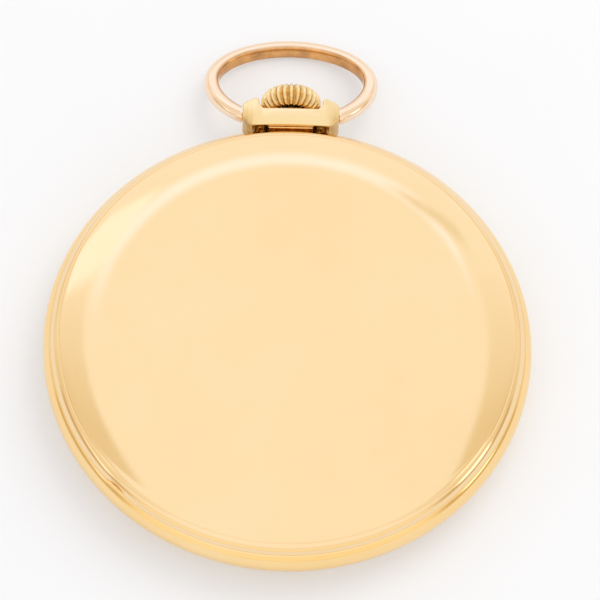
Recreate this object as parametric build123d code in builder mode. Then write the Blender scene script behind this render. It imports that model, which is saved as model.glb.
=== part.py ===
from build123d import *
import math
import os

# Open face pocket watch, millimetres. It lies dial down: the crystal's flat outer
# face is z = 0, +Z points out of the back and +Y points to the pendant.
os.makedirs("parts", exist_ok=True)

# ---------------------------------------------------------------- movement sizes
movement_radius = 19.175      # a 17-line movement
plate_thickness = 1.25
train_space = 1.45            # between the main plate and the bridges
bridge_thickness = 0.5
running_clearance = 0.03      # turning and sliding fits, on the radius
pivot_radius = 0.12
jewel_radius = 0.75
screw_radius = 0.35
screw_head_radius = 0.7

# ---------------------------------------------------------------- case sizes
crystal_thickness = 1.0
hand_space = 1.3              # between the crystal and the dial
dial_thickness = 0.35
cover_room = 0.6              # between the bridges and the middle of the rear cover
cover_wall = 0.4
case_margin = 3.325           # from the movement's edge to the widest ring of the band
band_bulge = 0.7              # how far the band swells past its two seams
snap_depth = 0.5              # how far a cover's skirt reaches into the band

# ---------------------------------------------------------------- pendant, crown, bow
pendant_half_width = 4.55
pendant_half_depth = 1.85
crown_radius = 2.85
crown_flutes = 26
stem_radius = 0.5
bow_wire_radius = 0.75
bow_half_width = 7.45
bow_reach = 9.6               # from the pivot to the middle of the wire at its top
bow_pin_radius = 0.42

# ---------------------------------------------------------------- heights worked out
dial_face = crystal_thickness + hand_space
plate_bottom = dial_face + dial_thickness
plate_top = plate_bottom + plate_thickness
bridge_bottom = plate_top + train_space
bridge_top = bridge_bottom + bridge_thickness
back_apex = bridge_top + cover_room + cover_wall
crease_height = back_apex - 0.95
rear_seam = crease_height - 0.9
front_seam = plate_bottom - 0.65
band_middle = (front_seam + rear_seam) / 2
stem_height = plate_top - 0.2
seam_gap = 0.05

# ---------------------------------------------------------------- radii worked out
case_radius = movement_radius + case_margin
case_bore = movement_radius + 0.125
flange_radius = movement_radius + 0.525
seam_radius = case_radius - band_bulge
snap_radius = seam_radius - 0.8
skirt_radius = snap_radius - running_clearance
skirt_wall = 0.57
crease_radius = seam_radius - 0.74
crystal_radius = movement_radius + 0.225
dial_radius = movement_radius + 0.725
bridge_radius = movement_radius - 0.575

# ---------------------------------------------------------------- wheel train
barrel_teeth = 80
centre_pinion_teeth = 12
barrel_module = 0.19
centre_teeth = 80
third_pinion_teeth = 10
centre_module = 0.165
third_teeth = 75
fourth_pinion_teeth = 10
third_module = 0.14
fourth_teeth = 80
escape_pinion_teeth = 8
fourth_module = 0.115
cannon_teeth = 12
minute_teeth = 36
cannon_module = 0.125
setting_teeth = 54
minute_pinion_teeth = 10
hour_teeth = 40
ratchet_teeth = 44
crown_wheel_teeth = 30
escape_teeth = 15
escape_radius = 2.7
pallet_distance = 3.12        # escape wheel to pallet arbor
lever_distance = 4.385        # pallet arbor to balance
balance_radius = 5.1
balance_rim = 0.5


def polar(origin, distance, degrees):
    """The point at a distance and an angle from another point."""
    turn = math.radians(degrees)
    return (origin[0] + distance * math.cos(turn), origin[1] + distance * math.sin(turn))


def bearing(start, end):
    """The angle in degrees from one point to another."""
    return math.degrees(math.atan2(end[1] - start[1], end[0] - start[0]))


def centre_distance(teeth_a, teeth_b, module):
    """How far apart two meshing wheels stand."""
    return (teeth_a + teeth_b) / 2 * module


barrel_distance = centre_distance(barrel_teeth, centre_pinion_teeth, barrel_module)
third_distance = centre_distance(centre_teeth, third_pinion_teeth, centre_module)
fourth_distance = centre_distance(third_teeth, fourth_pinion_teeth, third_module)
escape_distance = centre_distance(fourth_teeth, escape_pinion_teeth, fourth_module)
minute_distance = centre_distance(cannon_teeth, minute_teeth, cannon_module)
setting_distance = centre_distance(minute_teeth, setting_teeth, cannon_module)
hour_module = minute_distance / ((minute_pinion_teeth + hour_teeth) / 2)

middle = (0.0, 0.0)
barrel_at = polar(middle, barrel_distance, 50.0)
third_at = polar(middle, third_distance, -51.7)
fourth_at = polar(third_at, fourth_distance, 219.3)
escape_at = polar(fourth_at, escape_distance, 170.0)
pallet_at = polar(escape_at, pallet_distance, 150.3)
balance_at = polar(pallet_at, lever_distance, 150.3)
minute_at = polar(middle, minute_distance, 90.0)
setting_at = polar(minute_at, setting_distance, 90.0)
crown_wheel_at = (0.0, 12.8)
ratchet_distance = math.dist(barrel_at, crown_wheel_at)
ratchet_module = ratchet_distance / ((ratchet_teeth + crown_wheel_teeth) / 2)
cock_foot_at = polar(balance_at, 9.4, 115.0)

# ---------------------------------------------------------------- levels of the train
escape_level = plate_top + 0.25
third_level = plate_top + 0.2
barrel_bottom = plate_bottom + 0.65
barrel_top = plate_top + 1.0
barrel_tooth_level = plate_top + 0.5
fourth_level = plate_top + 0.7
centre_level = plate_top + 1.15
rim_bottom = plate_top + 0.85
rim_top = bridge_bottom
cock_bottom = bridge_bottom + 0.1
winding_level = bridge_top - 0.25
recess_level = bridge_top - 0.3
drum_radius = 7.0
motion_recess = plate_bottom + 0.47


def save(piece, name):
    """Label a finished piece and write it as a node of its own."""
    piece.part.label = name
    export_step(piece.part, f"parts/{name}.step")


def gear_outline(teeth, module, phase):
    """Toothed outline about the origin, with a tooth centred on the phase angle."""
    pitch_radius = teeth * module / 2
    pitch = 360 / teeth
    tip_radius = pitch_radius + 0.7 * module
    root_radius = pitch_radius - 1.0 * module
    corners = []
    for tooth in range(teeth):
        at = phase + tooth * pitch
        corners.append(polar(middle, root_radius, at - 0.25 * pitch))
        corners.append(polar(middle, tip_radius, at - 0.08 * pitch))
        corners.append(polar(middle, tip_radius, at + 0.08 * pitch))
        corners.append(polar(middle, root_radius, at + 0.25 * pitch))
    with BuildSketch() as outline:
        with BuildLine():
            Polyline(*corners, close=True)
        make_face()
    return outline.sketch


def gap_phase(toward, teeth):
    """The phase that puts a gap, not a tooth, on the angle given."""
    return toward + 180 / teeth


def toothed_wheel(centre, outline, bottom, thickness, bore, rim=0.0, hub=0.0, arms=5):
    """A flat wheel with a bore, crossed out between its hub and its rim."""
    with BuildPart() as wheel:
        with BuildSketch(Plane.XY.offset(bottom)):
            with Locations(centre):
                add(outline)
                Circle(bore, mode=Mode.SUBTRACT)
        extrude(amount=thickness)
        if rim:
            with BuildSketch(Plane.XY.offset(bottom)) as windows:
                with Locations(centre):
                    Circle(rim)
                    Circle(hub, mode=Mode.SUBTRACT)
                    with PolarLocations(0, arms):
                        arm_width = 0.16 * rim
                        Rectangle(rim * 1.1, arm_width, align=(Align.MIN, Align.CENTER), mode=Mode.SUBTRACT)
            extrude(amount=thickness, mode=Mode.SUBTRACT)
    return wheel


def turned_arbor(centre, steps):
    """An upright arbor: one cylinder for each (bottom, top, radius) step."""
    with BuildPart() as arbor:
        for bottom, top, radius in steps:
            with BuildSketch(Plane.XY.offset(bottom)):
                with Locations(centre):
                    Circle(radius)
            extrude(amount=top - bottom)
    return arbor


def leaved_arbor(centre, steps, outline, bottom, top):
    """An upright arbor with pinion leaves cut on part of its length."""
    with BuildPart() as arbor:
        add(turned_arbor(centre, steps).part)
        with BuildSketch(Plane.XY.offset(bottom)):
            with Locations(centre):
                add(outline)
        extrude(amount=top - bottom)
    return arbor


def plain_ring(centre, outer, inner, bottom, top):
    """An upright tube or washer."""
    with BuildPart() as ring:
        with BuildSketch(Plane.XY.offset(bottom)):
            with Locations(centre):
                Circle(outer)
                Circle(inner, mode=Mode.SUBTRACT)
        extrude(amount=top - bottom)
    return ring


def slotted_screws(places, head_radius, head_bottom, head_top, shank_bottom):
    """A group of equal screws with a slot across each head."""
    with BuildPart() as screws:
        for place in places:
            with BuildSketch(Plane.XY.offset(shank_bottom)):
                with Locations(place):
                    Circle(screw_radius)
            extrude(amount=head_bottom - shank_bottom)
            with BuildSketch(Plane.XY.offset(head_bottom)):
                with Locations(place):
                    Circle(head_radius)
            extrude(amount=head_top - head_bottom)
            with BuildSketch(Plane.XY.offset(head_top)):
                with Locations(place):
                    Rectangle(head_radius * 2.2, head_radius * 0.25, rotation=bearing(middle, place))
            extrude(amount=-(head_top - head_bottom) / 2, mode=Mode.SUBTRACT)
    return screws


def spiral_strip(centre, start_radius, spacing, half_turns, width, bottom, height):
    """A flat coiled strip: half circles about two centres, each wider than the last."""
    with BuildPart() as strip:
        with BuildSketch(Plane.XY.offset(bottom)):
            for side in range(half_turns):
                shift = spacing / 4 if side % 2 else -spacing / 4
                radius = start_radius + side * spacing / 2
                first = 180 if side % 2 else 0
                with BuildLine(mode=Mode.PRIVATE) as turn:
                    about = (centre[0] + shift, centre[1])
                    CenterArc(about, radius + width / 2, first, 180)
                    CenterArc(about, radius - width / 2, first, 180)
                    Line(polar(about, radius - width / 2, first), polar(about, radius + width / 2, first))
                    Line(polar(about, radius - width / 2, first + 180),
                         polar(about, radius + width / 2, first + 180))
                add(make_face(turn.edges(), mode=Mode.PRIVATE))
        extrude(amount=height)
    return strip


# ================================================================ case
sleeve_radius = stem_radius + 0.17
ledge_height = rear_seam - snap_depth - 0.05
with BuildPart() as mid_case:
    with BuildSketch(Plane.XZ):
        with BuildLine():
            Polyline(
                (seam_radius, front_seam),
                (snap_radius, front_seam),
                (snap_radius, front_seam + 0.75),
                (flange_radius + 0.1, front_seam + 0.75),
                (flange_radius + 0.1, plate_bottom + 0.35),
                (case_bore, plate_bottom + 0.35),
                (case_bore, ledge_height),
                (snap_radius, ledge_height),
                (snap_radius, rear_seam),
                (seam_radius, rear_seam),
            )
            ThreePointArc((seam_radius, rear_seam), (case_radius, band_middle), (seam_radius, front_seam))
        make_face()
    revolve(axis=Axis.Z)
    with BuildSketch(Plane.XZ.offset(-movement_radius)):
        with Locations((0, stem_height)):
            Circle(sleeve_radius)
    extrude(amount=-2 * case_margin, mode=Mode.SUBTRACT)
save(mid_case, "mid_case")

dome_break = crease_radius - 4.5      # where the flat middle turns down to the edge
dome_drop = 0.3
with BuildPart() as rear_cover:
    with BuildSketch(Plane.XZ):
        with BuildLine():
            dome_slope = 2 * dome_drop / dome_break
            flat_end = (dome_break, back_apex - dome_drop)
            inner_end = (dome_break, back_apex - dome_drop - cover_wall)
            skirt_inner = skirt_radius - skirt_wall
            Line((0, back_apex - cover_wall), (0, back_apex))
            TangentArc((0, back_apex), flat_end, tangent=(1, 0))
            TangentArc(flat_end, (crease_radius - 0.06, crease_height + 0.03), tangent=(1, -dome_slope))
            Line((crease_radius - 0.06, crease_height + 0.03), (crease_radius, crease_height - 0.05))
            ThreePointArc(
                (crease_radius, crease_height - 0.05),
                ((crease_radius + seam_radius) / 2 + 0.1, (crease_height + rear_seam) / 2 + 0.1),
                (seam_radius, rear_seam + seam_gap),
            )
            Polyline(
                (seam_radius, rear_seam + seam_gap),
                (skirt_radius, rear_seam + seam_gap),
                (skirt_radius, rear_seam - snap_depth),
                (skirt_inner, rear_seam - snap_depth),
                (skirt_inner, crease_height - cover_wall),
            )
            TangentArc(inner_end, (skirt_inner, crease_height - cover_wall), tangent=(1, -dome_slope))
            TangentArc((0, back_apex - cover_wall), inner_end, tangent=(1, 0))
        make_face()
    revolve(axis=Axis.Z)
    # a thumbnail lifts the cover at this notch in its rim
    notch_angle = 225.0
    notch_at = polar(middle, seam_radius + 0.25, notch_angle)
    with BuildSketch(Plane.XY.offset(rear_seam)):
        with Locations(notch_at):
            Rectangle(0.6, 3.0, rotation=notch_angle)
    extrude(amount=0.3, mode=Mode.SUBTRACT)
save(rear_cover, "rear_cover")

glass_rest = crystal_thickness + 0.02
rim_front = 0.45
with BuildPart() as bezel:
    with BuildSketch(Plane.XZ):
        with BuildLine():
            bore = crystal_radius + 0.02
            lip = crystal_radius - 0.5
            skirt_inner = skirt_radius - skirt_wall
            ThreePointArc(
                (seam_radius, front_seam - seam_gap),
                (seam_radius - 0.6, 1.0),
                (bore + 0.5, rim_front),
            )
            Polyline(
                (bore + 0.5, rim_front),
                (bore, rim_front),
                (bore, glass_rest),
                (lip, glass_rest),
                (lip, glass_rest + 0.3),
                (dial_radius - 0.3, dial_face - 0.1),
                (skirt_inner, dial_face - 0.1),
                (skirt_inner, front_seam + snap_depth),
                (skirt_radius, front_seam + snap_depth),
                (skirt_radius, front_seam - seam_gap),
                (seam_radius, front_seam - seam_gap),
            )
        make_face()
    revolve(axis=Axis.Z)
save(bezel, "bezel")

with BuildPart() as crystal:
    with BuildSketch(Plane.XZ):
        with BuildLine():
            Polyline(
                (0, 0),
                (crystal_radius - 1.9, 0),
                (crystal_radius - 0.5, 0.2),
                (crystal_radius, rim_front + 0.1),
                (crystal_radius, crystal_thickness),
                (0, crystal_thickness),
                close=True,
            )
        make_face()
    revolve(axis=Axis.Z)
save(crystal, "crystal")

# ================================================================ pendant, crown, bow
bow_pivot_y = case_radius + 1.5
notch_floor = case_radius + 1.7
crown_base = notch_floor + 0.1
with BuildPart() as pendant:
    with BuildSketch(Plane.XY.offset(stem_height - pendant_half_depth)):
        with BuildLine():
            w = pendant_half_width
            foot = w - 0.95
            cove = crown_radius - 0.75
            Polyline(
                (0, case_radius + 0.1),
                (cove, case_radius + 0.1),
                (cove, case_radius + 0.25),
            )
            ThreePointArc(
                (cove, case_radius + 0.25),
                ((cove + foot) / 2, case_radius + 0.4),
                (foot, case_radius - 0.2),
            )
            Polyline(
                (foot, case_radius - 0.2),
                (w, case_radius + 0.7),
                (w, case_radius + 2.25),
                (crown_radius + 0.3, case_radius + 2.85),
                (crown_radius + 0.1, case_radius + 2.8),
                (crown_radius + 0.1, notch_floor),
                (0, notch_floor),
                (0, case_radius + 0.1),
            )
        make_face()
        mirror(about=Plane.YZ)
    extrude(amount=2 * pendant_half_depth)
    with BuildSketch(Plane.XZ.offset(-case_radius)):
        with BuildLine():
            end = pendant_half_depth - 0.35
            top = stem_height
            Line((-w, top - end), (-w, top + end))
            ThreePointArc((-w, top + end), (0, top + pendant_half_depth), (w, top + end))
            Line((w, top + end), (w, top - end))
            ThreePointArc((w, top - end), (0, top - pendant_half_depth), (-w, top - end))
        make_face()
    extrude(amount=4, both=True, mode=Mode.INTERSECT)
    chamfer(pendant.faces().filter_by(Axis.X).group_by(SortBy.AREA)[-1].edges(), 0.3)
    # the neck flares down onto the band
    neck_depth = 1.25
    with BuildSketch(Plane.XY.offset(stem_height - neck_depth)):
        with BuildLine():
            Line((0, case_radius + 0.3), (cove, case_radius + 0.3))
            ThreePointArc(
                (cove, case_radius + 0.3), (cove + 0.12, case_radius - 0.05), (cove + 0.5, case_radius - 0.45)
            )
            Line((cove + 0.5, case_radius - 0.45), (cove + 0.5, seam_radius - 0.3))
            Line((cove + 0.5, seam_radius - 0.3), (0, seam_radius - 0.3))
            Line((0, seam_radius - 0.3), (0, case_radius + 0.3))
        make_face()
        mirror(about=Plane.YZ)
    extrude(amount=2 * neck_depth)
    add(mid_case.part, mode=Mode.SUBTRACT)
    with BuildSketch(Plane.XZ.offset(-snap_radius + 1)):
        with Locations((0, stem_height)):
            Circle(sleeve_radius)
    extrude(amount=-8, mode=Mode.SUBTRACT)
    # blind holes for the two ends of the bow
    pin_bore = bow_pin_radius + running_clearance
    for side in (-1, 1):
        with BuildSketch(Plane.YZ.offset(side * w)):
            with Locations((bow_pivot_y, stem_height)):
                Circle(pin_bore)
        extrude(amount=-side * 1.25, mode=Mode.SUBTRACT)
save(pendant, "pendant")


def turned_on_stem(steps):
    """A piece turned about the stem: one cylinder for each (inner y, outer y, radius) step."""
    with BuildPart() as turned:
        for inner, outer, radius in steps:
            with BuildSketch(Plane.XZ.offset(-inner)):
                with Locations((0, stem_height)):
                    Circle(radius)
            extrude(amount=-(outer - inner))
    return turned


with BuildPart() as pendant_sleeve:
    add(turned_on_stem([(flange_radius + 0.1, notch_floor - 0.1, sleeve_radius)]).part)
    with BuildSketch(Plane.XZ.offset(-case_bore)):
        with Locations((0, stem_height)):
            Circle(stem_radius + 0.06)
    extrude(amount=-8, mode=Mode.SUBTRACT)
save(pendant_sleeve, "pendant_sleeve")

crown_height = 2.7
stem_thread = 0.4
with BuildPart() as crown:
    with BuildSketch(Plane.YZ):
        with BuildLine():
            base = stem_height
            Polyline(
                (crown_base + 1.5, base),
                (crown_base + 1.5, base + stem_thread + 0.01),
                (crown_base, base + stem_thread + 0.01),
                (crown_base, base + crown_radius - 0.95),
            )
            ThreePointArc(
                (crown_base, base + crown_radius - 0.95),
                (crown_base + 1.35, base + crown_radius),
                (crown_base + crown_height - 0.15, base + crown_radius - 1.3),
            )
            TangentArc(
                (crown_base + crown_height, base),
                (crown_base + crown_height - 0.15, base + crown_radius - 1.3),
                tangent=(0, 1),
            )
            Line((crown_base + crown_height, base), (crown_base + 1.5, base))
        make_face()
    revolve(axis=Axis((0, 0, stem_height), (0, 1, 0)))
    with BuildSketch(Plane.XZ.offset(-crown_base + 1)):
        with Locations((0, stem_height)):
            with PolarLocations(crown_radius + 0.04, crown_flutes, start_angle=3.0):
                Circle(0.21)
    extrude(amount=-crown_height - 2, mode=Mode.SUBTRACT)
save(crown, "crown")

bow_droop = math.asin((stem_height - bow_wire_radius) / bow_reach)
bow_plane = Plane(
    origin=(0, bow_pivot_y, stem_height),
    x_dir=(1, 0, 0),
    z_dir=(0, math.sin(bow_droop), math.cos(bow_droop)),
)
with BuildPart() as bow:
    upper = 4.9
    lower = 5.6
    bow_middle = bow_reach - upper
    end_x = pendant_half_width + 0.07
    end_turn = math.degrees(math.acos((end_x - 0.4) / bow_half_width))
    with BuildLine(bow_plane) as bow_path:
        centre = (0, bow_middle)
        EllipticalCenterArc(centre, bow_half_width, lower, start_angle=-end_turn, arc_size=end_turn)
        EllipticalCenterArc(centre, bow_half_width, upper, start_angle=0, arc_size=180)
        EllipticalCenterArc(centre, bow_half_width, lower, start_angle=180, arc_size=end_turn)
    route = bow_path.wire()
    with BuildSketch(Plane(origin=route @ 0, z_dir=route % 0)):
        Circle(bow_wire_radius)
    sweep(path=route)
    # the ends are cut flat where they meet the pendant
    with BuildSketch(Plane.XY.offset(stem_height - 3)):
        with Locations((0, bow_pivot_y)):
            Rectangle(2 * end_x, 6)
    extrude(amount=6, mode=Mode.SUBTRACT)
    for side in (-1, 1):
        with BuildSketch(Plane.YZ.offset(side * (end_x + 0.2))):
            with Locations((bow_pivot_y, stem_height)):
                Circle(bow_pin_radius)
        extrude(amount=-side * 1.35)
save(bow, "bow")

# ================================================================ plates and bridges
channel_radius = stem_radius + 0.06
window_inner = 12.1           # the winding parts' window runs between these along Y
window_outer = 15.6
with BuildPart() as main_plate:
    with BuildSketch(Plane.XY.offset(plate_bottom)):
        Circle(movement_radius)
    extrude(amount=plate_thickness)
    with BuildSketch(Plane.XY.offset(plate_bottom)):
        Circle(flange_radius)
    extrude(amount=0.33)
    with BuildSketch(Plane.XY.offset(barrel_bottom - 0.05)):
        with Locations(barrel_at):
            Circle(drum_radius + 0.2)
    extrude(amount=plate_thickness, mode=Mode.SUBTRACT)
    # the dial side is hollowed for the motion work and the setting work
    with BuildSketch(Plane.XY.offset(plate_bottom)):
        Circle(3.1)
        with Locations(minute_at):
            Circle(2.7)
        with Locations(setting_at):
            Circle(3.65)
        with Locations((1.6, 15.0)):
            Rectangle(6.0, 6.0)
    extrude(amount=motion_recess - plate_bottom, mode=Mode.SUBTRACT)
    with BuildSketch(Plane.XY.offset(plate_bottom)):
        with Locations((0, (window_inner + window_outer) / 2)):
            Rectangle(2.3, window_outer - window_inner)
        for place in (third_at, fourth_at, escape_at, pallet_at, balance_at, minute_at, setting_at):
            with Locations(place):
                Circle(pivot_radius + running_clearance)
        Circle(0.35)
        with Locations(barrel_at):
            Circle(0.63)
    extrude(amount=plate_thickness, mode=Mode.SUBTRACT)
    with BuildSketch(Plane.XZ.offset(-11.3)):
        with Locations((0, stem_height)):
            Circle(channel_radius)
    extrude(amount=-movement_radius, mode=Mode.SUBTRACT)
save(main_plate, "main_plate")

split = 1.4                   # the line where the two bridges face each other
foot_inner = bridge_radius - 1.7
well_radius = balance_radius + 1.0
crown_hub = 2.2
bridge_screws_at = [polar(middle, bridge_radius - 0.85, angle) for angle in (25, 68, 118, -20, -62, -104)]
cock_screw_at = polar(cock_foot_at, 0.4, 115.0)
cock_width = 1.9
cock_foot_radius = 2.4
case_head_radius = 0.9
case_screws_at = [polar(middle, movement_radius - 0.35, angle) for angle in (178, 352)]
with BuildPart() as barrel_bridge:
    with BuildSketch(Plane.XY.offset(bridge_bottom)):
        Circle(bridge_radius)
        with Locations((0, split + 0.1)):
            Rectangle(60, 30, align=(Align.CENTER, Align.MAX), mode=Mode.SUBTRACT)
    extrude(amount=bridge_thickness)
    with BuildSketch(Plane.XY.offset(plate_top)):
        Circle(bridge_radius)
        Circle(foot_inner, mode=Mode.SUBTRACT)
        with Locations((0, split + 3.1)):
            Rectangle(60, 30, align=(Align.CENTER, Align.MAX), mode=Mode.SUBTRACT)
    extrude(amount=train_space)
    with BuildSketch(Plane.XY.offset(plate_top)):
        with Locations(balance_at):
            Circle(well_radius)
    extrude(amount=train_space + bridge_thickness, mode=Mode.SUBTRACT)
    with BuildSketch(Plane.XY.offset(plate_top)):
        with Locations(balance_at):
            Circle(cock_width + 0.2)
        with Locations(cock_foot_at):
            Circle(cock_foot_radius + 0.2)
        make_hull()
    extrude(amount=train_space + bridge_thickness, mode=Mode.SUBTRACT)
    with BuildSketch(Plane.XY.offset(plate_top)):
        with Locations(case_screws_at):
            Circle(case_head_radius + 0.15)
    extrude(amount=train_space + bridge_thickness, mode=Mode.SUBTRACT)
    with BuildSketch(Plane.XY.offset(recess_level)):
        with Locations(barrel_at):
            Circle(ratchet_distance * ratchet_teeth / (ratchet_teeth + crown_wheel_teeth) + 0.4)
        with Locations(crown_wheel_at):
            Circle(ratchet_distance * crown_wheel_teeth / (ratchet_teeth + crown_wheel_teeth) + 0.4)
        with Locations(polar(barrel_at, 6.4, 3.0)):
            Circle(3.2)
    extrude(amount=0.3, mode=Mode.SUBTRACT)
    with BuildSketch(Plane.XY.offset(bridge_bottom)):
        with Locations(barrel_at):
            Circle(0.93)
        with Locations(crown_wheel_at):
            Circle(crown_hub + 0.15)
    extrude(amount=bridge_thickness, mode=Mode.SUBTRACT)
    with BuildSketch(Plane.XZ.offset(-foot_inner + 2)):
        with Locations((0, stem_height)):
            Circle(channel_radius)
    extrude(amount=-6, mode=Mode.SUBTRACT)
    for place in bridge_screws_at[:3]:
        with BuildSketch(Plane.XY.offset(recess_level)):
            with Locations(place):
                Circle(screw_head_radius + 0.05)
        extrude(amount=0.3, mode=Mode.SUBTRACT)
        with BuildSketch(Plane.XY.offset(plate_top)):
            with Locations(place):
                Circle(screw_radius)
        extrude(amount=train_space + bridge_thickness, mode=Mode.SUBTRACT)
save(barrel_bridge, "barrel_bridge")

train_jewels_at = (middle, third_at, fourth_at, escape_at)
with BuildPart() as train_bridge:
    with BuildSketch(Plane.XY.offset(bridge_bottom)) as train_plan:
        Circle(bridge_radius)
        with Locations((0, split - 0.1)):
            Rectangle(60, 60, align=(Align.CENTER, Align.MIN), mode=Mode.SUBTRACT)
        with Locations((-6.6, 0)):
            Rectangle(30, 60, align=(Align.MAX, Align.CENTER), mode=Mode.SUBTRACT)
        with Locations(balance_at):
            Circle(well_radius, mode=Mode.SUBTRACT)
    extrude(amount=bridge_thickness)
    with BuildSketch(Plane.XY.offset(plate_top)):
        Circle(bridge_radius)
        Circle(foot_inner, mode=Mode.SUBTRACT)
        with Locations((0, split - 3.1)):
            Rectangle(60, 60, align=(Align.CENTER, Align.MIN), mode=Mode.SUBTRACT)
        with Locations((-6.6, 0)):
            Rectangle(30, 60, align=(Align.MAX, Align.CENTER), mode=Mode.SUBTRACT)
    extrude(amount=train_space)
    with BuildSketch(Plane.XY.offset(plate_top)):
        with Locations(case_screws_at):
            Circle(case_head_radius + 0.15)
    extrude(amount=train_space + bridge_thickness, mode=Mode.SUBTRACT)
    for place in train_jewels_at:
        with BuildSketch(Plane.XY.offset(bridge_bottom)):
            with Locations(place):
                Circle(jewel_radius)
        extrude(amount=bridge_thickness, mode=Mode.SUBTRACT)
    for place in bridge_screws_at[3:]:
        with BuildSketch(Plane.XY.offset(recess_level)):
            with Locations(place):
                Circle(screw_head_radius + 0.05)
        extrude(amount=0.3, mode=Mode.SUBTRACT)
        with BuildSketch(Plane.XY.offset(plate_top)):
            with Locations(place):
                Circle(screw_radius)
        extrude(amount=train_space + bridge_thickness, mode=Mode.SUBTRACT)
save(train_bridge, "train_bridge")

with BuildPart() as balance_cock:
    with BuildSketch(Plane.XY.offset(cock_bottom)):
        with Locations(balance_at):
            Circle(cock_width)
        with Locations(cock_foot_at):
            Circle(cock_foot_radius)
        make_hull()
    extrude(amount=bridge_top - cock_bottom)
    with BuildSketch(Plane.XY.offset(plate_top)):
        with Locations(cock_foot_at):
            Circle(cock_foot_radius)
    extrude(amount=cock_bottom - plate_top)
    with BuildSketch(Plane.XY.offset(cock_bottom)):
        with Locations(balance_at):
            Circle(jewel_radius)
    extrude(amount=bridge_top - cock_bottom, mode=Mode.SUBTRACT)
    with BuildSketch(Plane.XY.offset(plate_top)):
        with Locations(cock_screw_at):
            Circle(screw_radius)
    extrude(amount=bridge_top - plate_top, mode=Mode.SUBTRACT)
    with BuildSketch(Plane.XY.offset(recess_level)):
        with Locations(cock_screw_at):
            Circle(screw_head_radius + 0.05)
    extrude(amount=0.3, mode=Mode.SUBTRACT)
save(balance_cock, "balance_cock")

pallet_cock_bottom = plate_top + 0.52
pallet_foot_at = polar(pallet_at, 3.4, 240.0)
with BuildPart() as pallet_cock:
    with BuildSketch(Plane.XY.offset(pallet_cock_bottom)):
        with Locations(pallet_at):
            Circle(0.7)
        with Locations(pallet_foot_at):
            Circle(1.0)
        make_hull()
        with Locations(pallet_at):
            Circle(pivot_radius + running_clearance, mode=Mode.SUBTRACT)
    extrude(amount=0.22)
    with BuildSketch(Plane.XY.offset(plate_top)):
        with Locations(pallet_foot_at):
            Circle(1.0)
    extrude(amount=0.52)
    with BuildSketch(Plane.XY.offset(plate_top)):
        with Locations(pallet_foot_at):
            Circle(screw_radius)
    extrude(amount=1, mode=Mode.SUBTRACT)
save(pallet_cock, "pallet_cock")

bridge_screws = slotted_screws(
    bridge_screws_at + [cock_screw_at], screw_head_radius, recess_level, bridge_top, plate_top + 0.01
)
save(bridge_screws, "bridge_screws")

case_screws = slotted_screws(case_screws_at, case_head_radius, ledge_height, ledge_height + 0.3, plate_top)
save(case_screws, "case_screws")

with BuildPart() as train_jewels:
    for place in train_jewels_at:
        with BuildSketch(Plane.XY.offset(bridge_bottom)):
            with Locations(place):
                Circle(jewel_radius)
                Circle(pivot_radius + running_clearance, mode=Mode.SUBTRACT)
        extrude(amount=bridge_thickness - 0.05)
save(train_jewels, "train_jewels")
with BuildPart() as balance_jewels:
    with BuildSketch(Plane.XY.offset(cock_bottom)):
        with Locations(balance_at):
            Circle(jewel_radius)
            Circle(pivot_radius + running_clearance, mode=Mode.SUBTRACT)
    extrude(amount=bridge_top - cock_bottom - 0.1)
    with BuildSketch(Plane.XY.offset(bridge_top - 0.08)):
        with Locations(balance_at):
            Circle(jewel_radius)
    extrude(amount=0.1)
save(balance_jewels, "balance_jewels")

# ================================================================ barrel and winding
pivot_gap = 0.02
drum_wall = 0.3
with BuildPart() as barrel_drum:
    with BuildSketch(Plane.XY.offset(barrel_bottom)):
        with Locations(barrel_at):
            Circle(drum_radius)
    extrude(amount=barrel_top - barrel_bottom)
    with BuildSketch(Plane.XY.offset(barrel_tooth_level)):
        with Locations(barrel_at):
            add(gear_outline(barrel_teeth, barrel_module, bearing(barrel_at, middle)))
    extrude(amount=0.35)
    with BuildSketch(Plane.XY.offset(barrel_bottom + 0.2)):
        with Locations(barrel_at):
            Circle(drum_radius - drum_wall)
    extrude(amount=barrel_top, mode=Mode.SUBTRACT)
    with BuildSketch(Plane.XY.offset(barrel_bottom)):
        with Locations(barrel_at):
            Circle(0.9 + running_clearance)
    extrude(amount=barrel_top, mode=Mode.SUBTRACT)
save(barrel_drum, "barrel_drum")
barrel_cover = plain_ring(
    barrel_at, drum_radius - drum_wall, 0.9 + running_clearance, barrel_top - 0.2, barrel_top
)
save(barrel_cover, "barrel_cover")
mainspring = spiral_strip(
    barrel_at, 2.2, 0.7, 12, 0.12, barrel_bottom + 0.25, barrel_top - barrel_bottom - 0.5
)
save(mainspring, "mainspring")
barrel_arbor = turned_arbor(barrel_at, [
    (plate_bottom + 0.05, barrel_bottom - pivot_gap, 0.6),
    (barrel_bottom - pivot_gap, barrel_bottom + 0.25, 0.9),
    (barrel_bottom + 0.25, barrel_top - 0.25, 1.9),
    (barrel_top - 0.25, winding_level, 0.9),
    (winding_level, bridge_top - 0.05, 0.6),
])
save(barrel_arbor, "barrel_arbor")

toward_crown = bearing(barrel_at, crown_wheel_at)
ratchet_wheel = toothed_wheel(
    barrel_at, gear_outline(ratchet_teeth, ratchet_module, toward_crown), winding_level, 0.3, 0.6
)
save(ratchet_wheel, "ratchet_wheel")
ratchet_screw = slotted_screws([barrel_at], 1.1, bridge_top + 0.05, bridge_top + 0.2, bridge_top - 0.05)
save(ratchet_screw, "ratchet_screw")

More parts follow.
